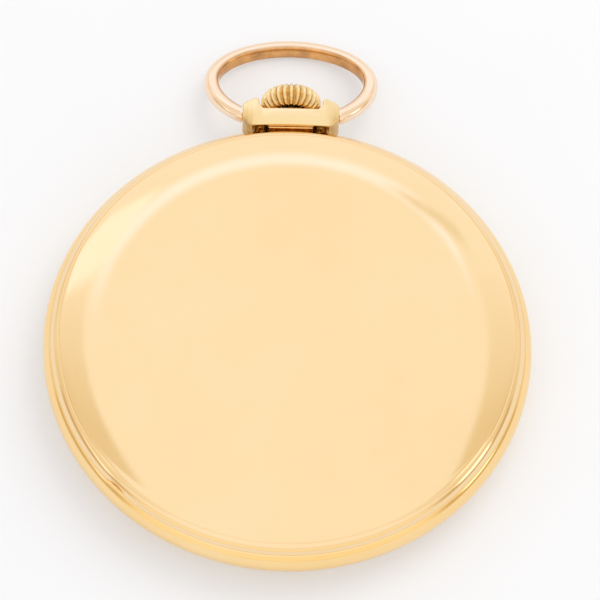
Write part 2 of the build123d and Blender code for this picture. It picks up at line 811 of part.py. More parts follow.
pinion_outer_radius = 1.0
with BuildPart() as crown_wheel:
    with BuildSketch(Plane.XY.offset(winding_level)):
        with Locations(crown_wheel_at):
            phase = gap_phase(toward_crown + 180, crown_wheel_teeth)
            add(gear_outline(crown_wheel_teeth, ratchet_module, phase))
            Circle(0.63, mode=Mode.SUBTRACT)
    extrude(amount=0.3)
    with BuildSketch(Plane.XY.offset(barrel_top + 0.05)):
        with Locations(crown_wheel_at):
            Circle(crown_hub)
            Circle(crown_hub - 0.6, mode=Mode.SUBTRACT)
    extrude(until=Until.NEXT)
save(crown_wheel, "crown_wheel")

cap_screws_at = [(side * 4.9, crown_wheel_at[1]) for side in (-1, 1)]
with BuildPart() as crown_wheel_cap:
    with BuildSketch(Plane.XY.offset(bridge_top + 0.08)):
        with Locations(cap_screws_at[0]):
            Circle(0.75)
        with Locations(cap_screws_at[1]):
            Circle(0.75)
        make_hull()
        with Locations(cap_screws_at):
            Circle(screw_radius, mode=Mode.SUBTRACT)
    extrude(amount=0.12)
    with BuildSketch(Plane.XY.offset(bridge_top)):
        with Locations(cap_screws_at):
            Circle(0.75)
            Circle(screw_radius, mode=Mode.SUBTRACT)
    extrude(amount=0.08)
    with BuildSketch(Plane.XY.offset(winding_level - 0.2)):
        with Locations(crown_wheel_at):
            Circle(0.6)
    extrude(amount=0.53)
save(crown_wheel_cap, "crown_wheel_cap")

click_pivot_at = polar(barrel_at, 7.6, 14.0)
ratchet_tip = ratchet_module * (ratchet_teeth / 2 + 0.7)
with BuildPart() as click:
    with BuildSketch(Plane.XY.offset(winding_level + 0.02)):
        with Locations(click_pivot_at):
            Circle(0.7)
        with Locations(polar(barrel_at, ratchet_tip + 0.45, 1.0)):
            Circle(0.3)
        make_hull()
        with BuildLine():
            Polyline(
                polar(barrel_at, ratchet_tip - 0.12, 0.0),
                polar(barrel_at, ratchet_tip + 0.5, -3.2),
                polar(barrel_at, ratchet_tip + 0.5, 3.2),
                close=True,
            )
        make_face()
        with Locations(click_pivot_at):
            Circle(screw_radius + running_clearance, mode=Mode.SUBTRACT)
    extrude(amount=0.22)
save(click, "click")
small_screws = slotted_screws(cap_screws_at, 0.55, bridge_top + 0.2, bridge_top + 0.3, bridge_top + 0.02)
click_screw = slotted_screws([click_pivot_at], 0.6, bridge_top + 0.02, bridge_top + 0.12, recess_level + 0.02)
small_screws.part = small_screws.part + click_screw.part
save(small_screws, "small_screws")
lever_bottom = plate_bottom + 0.12
with BuildPart() as return_springs:
    with BuildSketch(Plane.XY.offset(recess_level)):
        with Locations(polar(barrel_at, 8.6, -4.0)):
            Circle(0.35)
        with Locations(polar(barrel_at, 7.2, -15.0)):
            Circle(0.12)
        make_hull()
    extrude(amount=0.25)
    # the yoke's spring lies beside the yoke, on the dial side
    with BuildSketch(Plane.XY.offset(lever_bottom)):
        with Locations((4.1, 14.7)):
            Rectangle(0.15, 4.6)
    extrude(amount=0.25)
save(return_springs, "return_springs")

stem_inner = 11.35
stem_groove = 16.45
winding_stem = turned_on_stem([
    (stem_inner, 12.4, 0.28),
    (12.4, stem_groove, 0.45),
    (stem_groove, stem_groove + 0.4, 0.35),
    (stem_groove + 0.4, crown_base - 0.1, stem_radius),
    (crown_base - 0.1, crown_base + 1.4, stem_thread),
])
save(winding_stem, "winding_stem")

winding_pinion_y = crown_wheel_at[1] + 1.4
with BuildPart() as winding_pinion:
    with BuildSketch(Plane.XZ.offset(-winding_pinion_y)):
        with Locations((0, stem_height)):
            add(gear_outline(14, 2 * pinion_outer_radius / 15.4, 90.0))
            Circle(0.45 + running_clearance, mode=Mode.SUBTRACT)
    extrude(amount=-1.2)
save(winding_pinion, "winding_pinion")
clutch_y = window_inner + 0.85
with BuildPart() as sliding_pinion:
    add(turned_on_stem([
        (clutch_y, clutch_y + 0.35, 0.7),
        (clutch_y + 0.35, clutch_y + 0.8, 0.52),
        (clutch_y + 0.8, clutch_y + 1.15, 0.7),
    ]).part)
    with BuildSketch(Plane.XZ.offset(-clutch_y)):
        with Locations((0, stem_height)):
            Circle(0.45 + running_clearance)
    extrude(amount=-1.2, mode=Mode.SUBTRACT)
save(sliding_pinion, "sliding_pinion")
with BuildPart() as yoke:
    with BuildSketch(Plane.XY.offset(lever_bottom)):
        with Locations((-0.3, clutch_y + 0.45)):
            Rectangle(4.1, 0.25, align=(Align.MIN, Align.MIN))
    extrude(amount=stem_height - 0.58 - lever_bottom)
save(yoke, "yoke")
with BuildPart() as setting_lever:
    with BuildSketch(Plane.XY.offset(lever_bottom)):
        with Locations((-0.4, stem_groove + 0.05)):
            Rectangle(4.0, 0.3, align=(Align.MIN, Align.MIN))
    extrude(amount=0.25)
    with BuildSketch(Plane.XY.offset(lever_bottom)):
        with Locations((0, stem_groove + 0.2)):
            Circle(0.14)
    extrude(amount=stem_height - 0.4 - lever_bottom)
save(setting_lever, "setting_lever")

# ================================================================ going train
centre_to_third = bearing(middle, third_at)
third_to_fourth = bearing(third_at, fourth_at)
fourth_to_escape = bearing(fourth_at, escape_at)
centre_arbor = leaved_arbor(
    middle,
    [
        (plate_bottom + 0.3, plate_top + 0.05, 0.28),
        (plate_top + 0.05, centre_level + 0.22, 0.5),
        (centre_level + 0.22, bridge_bottom - pivot_gap, 0.35),
        (bridge_bottom - pivot_gap, bridge_top - 0.1, pivot_radius),
    ],
    gear_outline(centre_pinion_teeth, barrel_module,
                 gap_phase(bearing(middle, barrel_at), centre_pinion_teeth)),
    barrel_tooth_level - 0.05,
    barrel_tooth_level + 0.45,
)
save(centre_arbor, "centre_arbor")
centre_wheel = toothed_wheel(
    middle, gear_outline(centre_teeth, centre_module, centre_to_third),
    centre_level, 0.2, 0.5, rim=5.7, hub=1.3,
)
save(centre_wheel, "centre_wheel")
third_arbor = leaved_arbor(
    third_at,
    [
        (plate_bottom + 0.2, plate_top + 0.05, pivot_radius),
        (plate_top + 0.05, centre_level - 0.1, 0.35),
        (centre_level - 0.1, bridge_bottom - pivot_gap, 0.3),
        (bridge_bottom - pivot_gap, bridge_top - 0.1, pivot_radius),
    ],
    gear_outline(third_pinion_teeth, centre_module, gap_phase(centre_to_third + 180, third_pinion_teeth)),
    centre_level - 0.1,
    centre_level + 0.25,
)
save(third_arbor, "third_arbor")
third_wheel = toothed_wheel(
    third_at, gear_outline(third_teeth, third_module, third_to_fourth),
    third_level, 0.2, 0.35, rim=4.6, hub=1.0,
)
save(third_wheel, "third_wheel")
seconds_level = dial_face - 0.25
fourth_arbor = leaved_arbor(
    fourth_at,
    [
        (seconds_level, plate_top + 0.05, pivot_radius),
        (plate_top + 0.05, bridge_bottom - pivot_gap, 0.3),
        (bridge_bottom - pivot_gap, bridge_top - 0.1, pivot_radius),
    ],
    gear_outline(fourth_pinion_teeth, third_module, gap_phase(third_to_fourth + 180, fourth_pinion_teeth)),
    third_level - 0.05,
    third_level + 0.3,
)
save(fourth_arbor, "fourth_arbor")
fourth_wheel = toothed_wheel(
    fourth_at, gear_outline(fourth_teeth, fourth_module, fourth_to_escape),
    fourth_level, 0.15, 0.3, rim=3.95, hub=0.9,
)
save(fourth_wheel, "fourth_wheel")
escape_arbor = leaved_arbor(
    escape_at,
    [
        (plate_bottom + 0.2, plate_top + 0.05, pivot_radius),
        (plate_top + 0.05, bridge_bottom - pivot_gap, 0.2),
        (bridge_bottom - pivot_gap, bridge_top - 0.1, pivot_radius),
    ],
    gear_outline(escape_pinion_teeth, fourth_module, gap_phase(fourth_to_escape + 180, escape_pinion_teeth)),
    fourth_level - 0.08,
    fourth_level + 0.23,
)
save(escape_arbor, "escape_arbor")

# ================================================================ escapement and balance
escape_root = escape_radius - 0.65
escape_corners = []
for tooth in range(escape_teeth):
    at = tooth * 360 / escape_teeth
    escape_corners.append(polar(middle, escape_root, at - 6.0))
    escape_corners.append(polar(middle, escape_radius - 0.1, at - 1.5))
    escape_corners.append(polar(middle, escape_radius, at + 1.5))
    escape_corners.append(polar(middle, escape_root, at + 0.5))
with BuildSketch() as escape_outline:
    with BuildLine():
        Polyline(*escape_corners, close=True)
    make_face()
escape_wheel = toothed_wheel(
    escape_at, escape_outline.sketch, escape_level, 0.15, 0.2, rim=escape_root - 0.35, hub=0.55, arms=4
)
save(escape_wheel, "escape_wheel")

pallet_arbor = turned_arbor(pallet_at, [
    (plate_bottom + 0.2, plate_top + 0.05, pivot_radius),
    (plate_top + 0.05, pallet_cock_bottom - pivot_gap, 0.22),
    (pallet_cock_bottom - pivot_gap, pallet_cock_bottom + 0.18, pivot_radius),
])
save(pallet_arbor, "pallet_arbor")
lever_angle = bearing(pallet_at, balance_at)
stone_angles = (lever_angle - 30, lever_angle + 30)
impulse_radius = 0.9
stone_depth = 0.08
with BuildPart() as pallet_fork:
    with BuildSketch(Plane.XY.offset(escape_level)):
        for angle in stone_angles:
            with BuildSketch(Plane.XY.offset(escape_level), mode=Mode.PRIVATE) as pallet_arm:
                with Locations(pallet_at):
                    Circle(0.45)
                with Locations(polar(escape_at, escape_radius + 0.55, angle)):
                    Circle(0.28)
                make_hull()
            add(pallet_arm.sketch)
        with BuildSketch(Plane.XY.offset(escape_level), mode=Mode.PRIVATE) as fork_arm:
            with Locations(pallet_at):
                Circle(0.35)
            with Locations(polar(pallet_at, lever_distance - impulse_radius - 0.3, lever_angle)):
                Circle(0.3)
            make_hull()
            with Locations(polar(pallet_at, lever_distance - impulse_radius, lever_angle)):
                Rectangle(0.8, 0.95, rotation=lever_angle)
                Rectangle(0.82, 0.5, rotation=lever_angle, mode=Mode.SUBTRACT)
        add(fork_arm.sketch)
        with Locations(pallet_at):
            Circle(0.22, mode=Mode.SUBTRACT)
    extrude(amount=0.2)
    for angle in stone_angles:
        with BuildSketch(Plane.XY.offset(escape_level)):
            with Locations(polar(escape_at, escape_radius - stone_depth, angle)):
                Rectangle(0.75, 0.25, rotation=angle, align=(Align.MIN, Align.CENTER))
        extrude(amount=0.2, mode=Mode.SUBTRACT)
save(pallet_fork, "pallet_fork")
with BuildPart() as pallet_stones:
    for angle in stone_angles:
        with BuildSketch(Plane.XY.offset(escape_level)):
            with Locations(polar(escape_at, escape_radius - stone_depth, angle)):
                Rectangle(0.75, 0.25, rotation=angle, align=(Align.MIN, Align.CENTER))
        extrude(amount=0.2)
save(pallet_stones, "pallet_stones")

staff_shoulder = rim_bottom + 0.2
balance_staff = turned_arbor(balance_at, [
    (plate_bottom + 0.2, plate_top + 0.1, pivot_radius),
    (plate_top + 0.1, rim_bottom, 0.25),
    (rim_bottom, staff_shoulder, 0.6),
    (staff_shoulder, cock_bottom - pivot_gap, 0.3),
    (cock_bottom - pivot_gap, bridge_top - 0.1, pivot_radius),
])
save(balance_staff, "balance_staff")
with BuildPart() as balance_wheel:
    with BuildSketch(Plane.XY.offset(rim_bottom)):
        with Locations(balance_at):
            Circle(balance_radius)
            Circle(balance_radius - balance_rim, mode=Mode.SUBTRACT)
    extrude(amount=rim_top - rim_bottom - 0.02)
    with BuildSketch(Plane.XY.offset(rim_bottom)):
        with Locations(balance_at):
            Rectangle(2 * balance_radius - balance_rim, 0.7, rotation=40.0)
            Circle(1.1)
            Circle(0.6, mode=Mode.SUBTRACT)
    extrude(amount=0.2)
save(balance_wheel, "balance_wheel")
with BuildPart() as balance_screws:
    for index in range(14):
        angle = 40.0 + (index + 0.5) * 360 / 14
        seat = polar(balance_at, balance_radius, angle)
        outward = (math.cos(math.radians(angle)), math.sin(math.radians(angle)), 0)
        height = (rim_bottom + rim_top) / 2
        with BuildSketch(Plane(origin=(seat[0], seat[1], height), z_dir=outward)):
            Circle(0.2)
        extrude(amount=0.4, dir=outward)
save(balance_screws, "balance_screws")
roller_bottom = plate_top + 0.55
roller = plain_ring(balance_at, 1.2, 0.25, roller_bottom, roller_bottom + 0.15)
save(roller, "roller")
impulse_at = polar(balance_at, impulse_radius, lever_angle + 180)
impulse_jewel = turned_arbor(impulse_at, [(escape_level + 0.11, roller_bottom, 0.19)])
save(impulse_jewel, "impulse_jewel")

coil_spacing = 0.42
coil_turns = 15
coil_level = rim_bottom + 0.32
hairspring = spiral_strip(balance_at, 0.75, coil_spacing, coil_turns, 0.07, coil_level, 0.15)
save(hairspring, "hairspring")
stud_at = polar(balance_at, 4.05, 115.0)
hairspring_stud = turned_arbor(stud_at, [(coil_level - 0.04, cock_bottom, 0.22)])
save(hairspring_stud, "hairspring_stud")
with BuildPart() as regulator:
    with BuildSketch(Plane.XY.offset(bridge_top + 0.02)):
        with Locations(balance_at):
            Circle(0.8 + 0.5)
        with Locations(polar(balance_at, 4.6, 118.0)):
            Circle(0.14)
        make_hull()
        with Locations(balance_at):
            Circle(jewel_radius + 0.05, mode=Mode.SUBTRACT)
    extrude(amount=0.13)
save(regulator, "regulator")

# ================================================================ motion work, dial, hands
hour_level = plate_bottom + 0.07
minute_level = plate_bottom + 0.28
hour_hand_level = dial_face - 0.55
minute_hand_level = dial_face - 0.95
cannon_bore = 0.28
cannon_pinion = leaved_arbor(
    middle, [(minute_hand_level, minute_level + 0.17, 0.5)],
    gear_outline(cannon_teeth, cannon_module, gap_phase(bearing(middle, minute_at), cannon_teeth)),
    minute_level - 0.02, minute_level + 0.17,
)
with BuildPart(mode=Mode.PRIVATE) as cannon_hole:
    with BuildSketch(Plane.XY.offset(plate_bottom + 0.3)):
        Circle(cannon_bore)
    extrude(amount=1)
cannon_pinion.part = cannon_pinion.part - cannon_hole.part
save(cannon_pinion, "cannon_pinion")
with BuildPart() as minute_wheel:
    with BuildSketch(Plane.XY.offset(minute_level)):
        with Locations(minute_at):
            add(gear_outline(minute_teeth, cannon_module, bearing(minute_at, middle)))
    extrude(amount=0.15)
    with BuildSketch(Plane.XY.offset(hour_level - 0.02)):
        with Locations(minute_at):
            phase = gap_phase(bearing(minute_at, middle), minute_pinion_teeth)
            add(gear_outline(minute_pinion_teeth, hour_module, phase))
    extrude(amount=minute_level - hour_level + 0.02)
    with BuildSketch(Plane.XY.offset(hour_level - 0.02)):
        with Locations(minute_at):
            Circle(pivot_radius)
    extrude(amount=barrel_bottom - pivot_gap - hour_level + 0.02)
save(minute_wheel, "minute_wheel")
with BuildPart() as setting_wheel:
    with BuildSketch(Plane.XY.offset(minute_level)):
        with Locations(setting_at):
            phase = gap_phase(bearing(setting_at, minute_at), setting_teeth)
            add(gear_outline(setting_teeth, cannon_module, phase))
    extrude(amount=0.15)
    with BuildSketch(Plane.XY.offset(minute_level - 0.1)):
        with Locations(setting_at):
            Circle(pivot_radius)
    extrude(amount=barrel_bottom - pivot_gap - minute_level + 0.1)
save(setting_wheel, "setting_wheel")
with BuildPart() as hour_wheel:
    with BuildSketch(Plane.XY.offset(hour_level)):
        add(gear_outline(hour_teeth, hour_module, bearing(middle, minute_at)))
        Circle(0.5 + running_clearance, mode=Mode.SUBTRACT)
    extrude(amount=0.15)
    with BuildSketch(Plane.XY.offset(hour_hand_level)):
        Circle(0.8)
        Circle(0.5 + running_clearance, mode=Mode.SUBTRACT)
    extrude(amount=hour_level - hour_hand_level)
save(hour_wheel, "hour_wheel")

seconds_dial_radius = 4.6
with BuildPart() as dial:
    with BuildSketch(Plane.XY.offset(dial_face)):
        Circle(dial_radius)
        Circle(0.95, mode=Mode.SUBTRACT)
        with Locations(fourth_at):
            Circle(0.35, mode=Mode.SUBTRACT)
    extrude(amount=dial_thickness)
    with BuildSketch(Plane.XY.offset(dial_face)):
        with Locations(fourth_at):
            Circle(seconds_dial_radius)
    extrude(amount=0.1, mode=Mode.SUBTRACT)
save(dial, "dial")


def hand(centre, clock_angle, length, width, tail, boss, bore, level, thickness):
    """A leaf hand that points at an angle counted the way the hands turn, from twelve."""
    heading = 90 + clock_angle
    with BuildPart() as pointer:
        with BuildSketch(Plane.XY.offset(level)):
            with BuildLine():
                Polyline(
                    polar(centre, length, heading),
                    polar(polar(centre, length * 0.45, heading), width / 2, heading + 90),
                    polar(polar(centre, -tail, heading), width / 3, heading + 90),
                    polar(polar(centre, -tail, heading), width / 3, heading - 90),
                    polar(polar(centre, length * 0.45, heading), width / 2, heading - 90),
                    close=True,
                )
            make_face()
            with Locations(centre):
                Circle(boss)
                Circle(bore, mode=Mode.SUBTRACT)
        extrude(amount=thickness)
    return pointer


hour_hand = hand(middle, 304.5, 10.0, 1.1, 1.6, 1.2, 0.8, hour_hand_level, 0.12)
save(hour_hand, "hour_hand")
minute_hand = hand(middle, 54.0, 15.0, 0.9, 1.6, 0.9, 0.5, minute_hand_level, 0.12)
save(minute_hand, "minute_hand")
seconds_hand = hand(fourth_at, 210.0, 3.6, 0.25, 1.2, 0.4, pivot_radius, seconds_level, 0.1)
save(seconds_hand, "seconds_hand")
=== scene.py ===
# %% [markdown]
# # An open face pocket watch, lying on its glass
# The working watch comes in as a fixed frame: every wheel, screw and hand is
# already in place. This lesson gives it its looks. The pieces that a hand
# touches (case, glass, pendant, crown and bow) are modelled again, finely
# enough to be polished, and every other piece is given a finish.

# %% Load the watch
import math

import bmesh
import bpy
from mathutils import Matrix, Quaternion, Vector


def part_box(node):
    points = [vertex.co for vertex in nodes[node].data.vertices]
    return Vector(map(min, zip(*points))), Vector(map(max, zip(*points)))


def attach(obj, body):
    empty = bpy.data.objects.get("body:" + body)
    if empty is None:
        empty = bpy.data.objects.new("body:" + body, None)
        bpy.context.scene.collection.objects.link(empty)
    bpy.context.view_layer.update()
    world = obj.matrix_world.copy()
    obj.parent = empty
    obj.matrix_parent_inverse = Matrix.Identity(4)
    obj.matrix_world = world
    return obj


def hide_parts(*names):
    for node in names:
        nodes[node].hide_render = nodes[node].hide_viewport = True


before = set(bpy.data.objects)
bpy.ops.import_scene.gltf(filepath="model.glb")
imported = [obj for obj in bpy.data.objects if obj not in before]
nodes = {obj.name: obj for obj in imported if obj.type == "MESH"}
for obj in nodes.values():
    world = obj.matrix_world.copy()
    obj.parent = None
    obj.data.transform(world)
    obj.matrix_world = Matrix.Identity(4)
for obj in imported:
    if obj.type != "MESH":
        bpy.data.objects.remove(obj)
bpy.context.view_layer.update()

mm = 0.001

# %% [markdown]
# ## Measures that every piece shares
# The case is turned on a lathe, so it is all radii and heights. They are read
# from the boxes of the pieces they belong to, so that nothing has to be fitted.

# %% Read the case's radii and heights
band_low, band_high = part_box("mid_case")
cover_low, cover_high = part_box("rear_cover")
bezel_low, bezel_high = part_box("bezel")
glass_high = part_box("crystal")[1]
dial_low, dial_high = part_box("dial")
stem_low, stem_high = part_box("winding_stem")
head_low, head_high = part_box("pendant")
button_low, button_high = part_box("crown")
case_radius = band_high.x
seam_radius = cover_high.x
front_seam = band_low.z
rear_seam = band_high.z
back_apex = cover_high.z
band_middle = (front_seam + rear_seam) / 2
stem_height = (stem_low.z + stem_high.z) / 2
print("case radius mm", round(case_radius / mm, 3), "thick mm", round(back_apex / mm, 3))

# %% [markdown]
# ## A small kit of finishes
# Each finish is a handful of nodes round one shader. A pattern reads the
# piece's own object coordinates, in metres, so it stays put when the piece
# moves. Three habits repeat: a slow change of colour, a fast change of
# roughness, and a very shallow bump, because no real surface is even.

# %% Helpers that build a finish
def new_finish(name):
    """An empty material with its shader, ready for sockets to be set."""
    finish = bpy.data.materials.new(name)
    finish.use_nodes = True
    tree = finish.node_tree
    shader = tree.nodes["Principled BSDF"]
    return finish, tree, shader


def add_node(tree, kind, **settings):
    """A node with its properties set."""
    node = tree.nodes.new(kind)
    for key, value in settings.items():
        setattr(node, key, value)
    return node


def placed(tree, centre=(0, 0, 0), turn=0.0, stretch=(1, 1, 1)):
    """Object coordinates about a centre, turned about the vertical and stretched."""
    coordinates = add_node(tree, "ShaderNodeTexCoord")
    about = add_node(tree, "ShaderNodeVectorMath", operation="SUBTRACT")
    about.inputs[1].default_value = centre
    mapping = add_node(tree, "ShaderNodeMapping")
    mapping.inputs["Rotation"].default_value = (0, 0, turn)
    mapping.inputs["Scale"].default_value = stretch
    tree.links.new(coordinates.outputs["Object"], about.inputs[0])
    tree.links.new(about.outputs[0], mapping.inputs["Vector"])
    return mapping.outputs["Vector"]


def noise(tree, vector, scale, detail=3.0):
    """A noise value between 0 and 1."""
    node = add_node(tree, "ShaderNodeTexNoise")
    node.inputs["Scale"].default_value = scale
    node.inputs["Detail"].default_value = detail
    tree.links.new(vector, node.inputs["Vector"])
    return node.outputs["Fac"]


def ranged(tree, value, low, high, from_low=0.3, from_high=0.7):
    """A value squeezed into a new range."""
    node = add_node(tree, "ShaderNodeMapRange")
    node.inputs["From Min"].default_value = from_low
    node.inputs["From Max"].default_value = from_high
    node.inputs["To Min"].default_value = low
    node.inputs["To Max"].default_value = high
    tree.links.new(value, node.inputs["Value"])
    return node.outputs["Result"]


def blended(tree, factor, first, second):
    """A colour between two others."""
    node = add_node(tree, "ShaderNodeMix", data_type="RGBA")
    node.inputs["A"].default_value = (*first, 1)
    node.inputs["B"].default_value = (*second, 1)
    tree.links.new(factor, node.inputs["Factor"])
    return node.outputs["Result"]


def bumped(tree, shader, height, depth, strength=0.5):
    """Tiny relief from a height value; depth is in metres."""
    node = add_node(tree, "ShaderNodeBump")
    node.inputs["Strength"].default_value = strength
    node.inputs["Distance"].default_value = depth
    tree.links.new(height, node.inputs["Height"])
    tree.links.new(node.outputs["Normal"], shader.inputs["Normal"])
    return node


def spokes(tree, vector, count):
    """Noise that changes only with the angle, as a brush leaves it in the lathe."""
    split = add_node(tree, "ShaderNodeSeparateXYZ")
    angle = add_node(tree, "ShaderNodeMath", operation="ARCTAN2")
    grain = add_node(tree, "ShaderNodeTexNoise", noise_dimensions="1D")
    grain.inputs["Scale"].default_value = count
    grain.inputs["Detail"].default_value = 4.0
    tree.links.new(vector, split.inputs[0])
    tree.links.new(split.outputs["X"], angle.inputs[0])
    tree.links.new(split.outputs["Y"], angle.inputs[1])
    tree.links.new(angle.outputs[0], grain.inputs["W"])
    return grain.outputs["Fac"]


# %% [markdown]
# ## Polished gold
# Gold plate that has been carried for years is a mirror seen through hairlines:
# thousands of fine scratches in every direction, and faint clouds where it has
# been rubbed. Two stretched noises at different angles make the hairlines. The
# colour drifts slightly between two golds, because plate wears thin unevenly.

# %% Gold finishes
def polished_gold(name, bright, deep, smooth, dull, scratch_depth=0.6e-6):
    """Worn polished gold between two tones and two roughnesses."""
    finish, tree, shader = new_finish(name)
    even = placed(tree)
    clouds = noise(tree, even, 90.0, 4.0)
    colour = blended(tree, ranged(tree, clouds, 0.0, 1.0), bright, deep)
    tree.links.new(colour, shader.inputs["Base Color"])
    hairline = noise(tree, placed(tree, turn=0.5, stretch=(9000, 260, 260)), 1.0, 2.0)
    crossing = noise(tree, placed(tree, turn=-1.1, stretch=(240, 8000, 240)), 1.0, 2.0)
    both = add_node(tree, "ShaderNodeMath", operation="MULTIPLY")
    tree.links.new(hairline, both.inputs[0])
    tree.links.new(crossing, both.inputs[1])
    rubbed = ranged(tree, both.outputs[0], smooth, dull, 0.18, 0.42)
    tree.links.new(rubbed, shader.inputs["Roughness"])
    bumped(tree, shader, both.outputs[0], scratch_depth, 0.35)
    shader.inputs["Metallic"].default_value = 1.0
    return finish


case_gold = polished_gold("case_gold", (0.95, 0.72, 0.425), (0.94, 0.695, 0.39), 0.07, 0.12)
band_gold = polished_gold("band_gold", (0.99, 0.73, 0.38), (0.97, 0.68, 0.31), 0.09, 0.15)
pendant_gold = polished_gold("pendant_gold", (0.93, 0.72, 0.40), (0.90, 0.66, 0.33), 0.14, 0.22)
bow_gold = polished_gold("bow_gold", (0.98, 0.79, 0.62), (0.96, 0.73, 0.53), 0.13, 0.20)
crown_gold = polished_gold("crown_gold", (1.0, 0.80, 0.46), (0.96, 0.70, 0.33), 0.05, 0.10)
# The neck's gold is a more orange copy of the pendant's gold: painted reflection of the gold round
# it.
neck_reflection_gold = polished_gold("neck_reflection_gold", (1.0, 0.72, 0.36), (0.97, 0.62, 0.25), 0.12, 0.20)
print("gold finishes", [finish.name for finish in bpy.data.materials])

# %% [markdown]
# ## Turning on a lathe
# Case, bezel and glass are all turned, so each is one outline spun once round
# the middle. The outline starts and ends on the axis, or closes on itself for
# a ring. Sharp corners are then softened by a narrow bevel: real edges are
# never perfectly sharp, and it is the edge that catches the light.

# %% Turning, softening and finishing helpers
turning_steps = 224


def finished(mesh_maker, name, finish, body, replaced=()):
    """Turn a bmesh into a smooth piece that rides on a body."""
    mesh = bpy.data.meshes.new(name)
    mesh_maker.to_mesh(mesh)
    mesh_maker.free()
    mesh.shade_smooth()
    piece = bpy.data.objects.new(name, mesh)
    bpy.context.scene.collection.objects.link(piece)
    mesh.materials.append(finish)
    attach(piece, body)
    if replaced:
        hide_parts(*replaced)
    print(name, "faces", len(mesh.polygons))
    return piece


def soften(work, width, sharper_than=30.0, segments=3):
    """Bevel every edge that turns by more than an angle."""
    limit = math.radians(sharper_than)
    sharp = [
        edge for edge in work.edges
        if edge.is_manifold and edge.calc_face_angle(0) > limit
    ]
    bmesh.ops.bevel(
        work, geom=sharp, offset=width, offset_type="OFFSET", segments=segments,
        profile=0.5, affect="EDGES", material=-1, clamp_overlap=True,
    )


def turned(outline, closed=False, steps=turning_steps):
    """Spin an outline of (radius, height) points once round the vertical axis."""
    work = bmesh.new()
    corners = [work.verts.new((radius, 0, height)) for radius, height in outline]
    pairs = list(zip(corners, corners[1:]))
    if closed:
        pairs.append((corners[-1], corners[0]))
    edges = [work.edges.new(pair) for pair in pairs]
    bmesh.ops.spin(
        work, geom=corners + edges, cent=(0, 0, 0), axis=(0, 0, 1),
        angle=2 * math.pi, steps=steps, use_merge=True,
    )
    bmesh.ops.remove_doubles(work, verts=work.verts, dist=1e-7)
    bmesh.ops.recalc_face_normals(work, faces=work.faces)
    return work


def bulged(start, end, bulge, steps):
    """Points on an arc from start to end, standing off its chord by the bulge."""
    start = Vector(start)
    end = Vector(end)
    half = (end - start).length / 2
    radius = (half * half + bulge * bulge) / (2 * bulge)
    along = (end - start).normalized()
    outward = Vector((along.y, -along.x))
    centre = (start + end) / 2 + outward * (bulge - radius)
    spread = math.asin(min(1.0, half / radius))
    if bulge > half:
        spread = math.pi - spread
    points = []
    for step in range(steps + 1):
        turn = -spread + 2 * spread * step / steps
        across_chord = outward * radius * math.cos(turn)
        points.append(tuple(centre + across_chord + along * radius * math.sin(turn)))
    return points


# %% [markdown]
# ## The back of the case
# The back is one shallow dome. Its broad middle is almost flat; nearer the edge
# it turns down more steeply, ends in a fine raised step, and rolls over to the
# seam. Two parabolas that share a slope give the dome, so its reflection runs
# over the join without a kink. A shallow scoop in the rim takes a thumbnail.

# %% Turn the back
crease_radius = seam_radius - 0.74 * mm
crease_height = back_apex - 0.95 * mm
dome_drop = 0.92 * mm
shoulder_radius = crease_radius - 4.5 * mm
shoulder_drop = 0.3 * mm
cover_wall = 0.4 * mm
skirt_radius = seam_radius - 0.83 * mm
skirt_wall = 0.5 * mm
seam_gap = 0.06 * mm


def dome_height(radius, top):
    """Height of the dome at a radius."""
    if radius <= shoulder_radius:
        return top - shoulder_drop * (radius / shoulder_radius) ** 2
    slope = 2 * shoulder_drop / shoulder_radius
    reach = crease_radius - shoulder_radius
    bend = (top - shoulder_drop - slope * reach - (top - dome_drop)) / reach ** 2
    past = radius - shoulder_radius
    return top - shoulder_drop - slope * past - bend * past * past


def dome_points(top, last, count):
    """Points down the dome from its middle to a radius."""
    radii = [last * step / count for step in range(count + 1)]
    return [(radius, dome_height(radius, top)) for radius in radii]


groove_radius = crease_radius - 0.10 * mm
groove_height = dome_height(groove_radius, back_apex)
back_outline = dome_points(back_apex, groove_radius - 0.06 * mm, 40)
back_outline += [
    (groove_radius, groove_height - 0.055 * mm),
    (groove_radius + 0.045 * mm, groove_height - 0.06 * mm),
    (crease_radius - 0.01 * mm, groove_height - 0.015 * mm),
]
rolled_edge = bulged(
    (seam_radius, rear_seam + seam_gap),
    (crease_radius + 0.05 * mm, groove_height - 0.03 * mm), 0.10 * mm, 8,
)
back_outline += rolled_edge[::-1]
back_outline += [
    (skirt_radius, rear_seam + seam_gap),
    (skirt_radius, cover_low.z),
    (skirt_radius - skirt_wall, cover_low.z),
    (skirt_radius - skirt_wall - 0.05 * mm, crease_height - cover_wall),
]
back_outline += dome_points(back_apex - cover_wall, crease_radius - 1.2 * mm, 30)[::-1]
work = turned(back_outline)
soften(work, 0.03 * mm, 28.0, 2)

# %% Scoop the rim for a thumbnail
notch_angle = math.radians(225)
notch_reach = 1.1 * mm
notch_depth = 0.3 * mm
notch_rise = 0.35 * mm
for vert in work.verts:
    radius = math.hypot(vert.co.x, vert.co.y)
    away = abs(math.atan2(vert.co.y, vert.co.x) % (2 * math.pi) - notch_angle) * radius
    on_rim = radius > crease_radius + 0.1 * mm and vert.co.z < rear_seam + notch_rise
    if away < notch_reach and on_rim:
        scoop = math.cos(away / notch_reach * math.pi / 2) * notch_depth
        vert.co.x *= 1 - scoop / radius
        vert.co.y *= 1 - scoop / radius
finished(work, "case_back", case_gold, "rear_cover", ["rear_cover"])

# %% [markdown]
# ## The band, the bezel and the glass
# The band between the two covers swells out in one smooth curve, with a narrow
# seam above and below it. The bezel rolls in from the front seam to the glass.
# The glass is flat, with its edge ground to a bevel that bends the light.

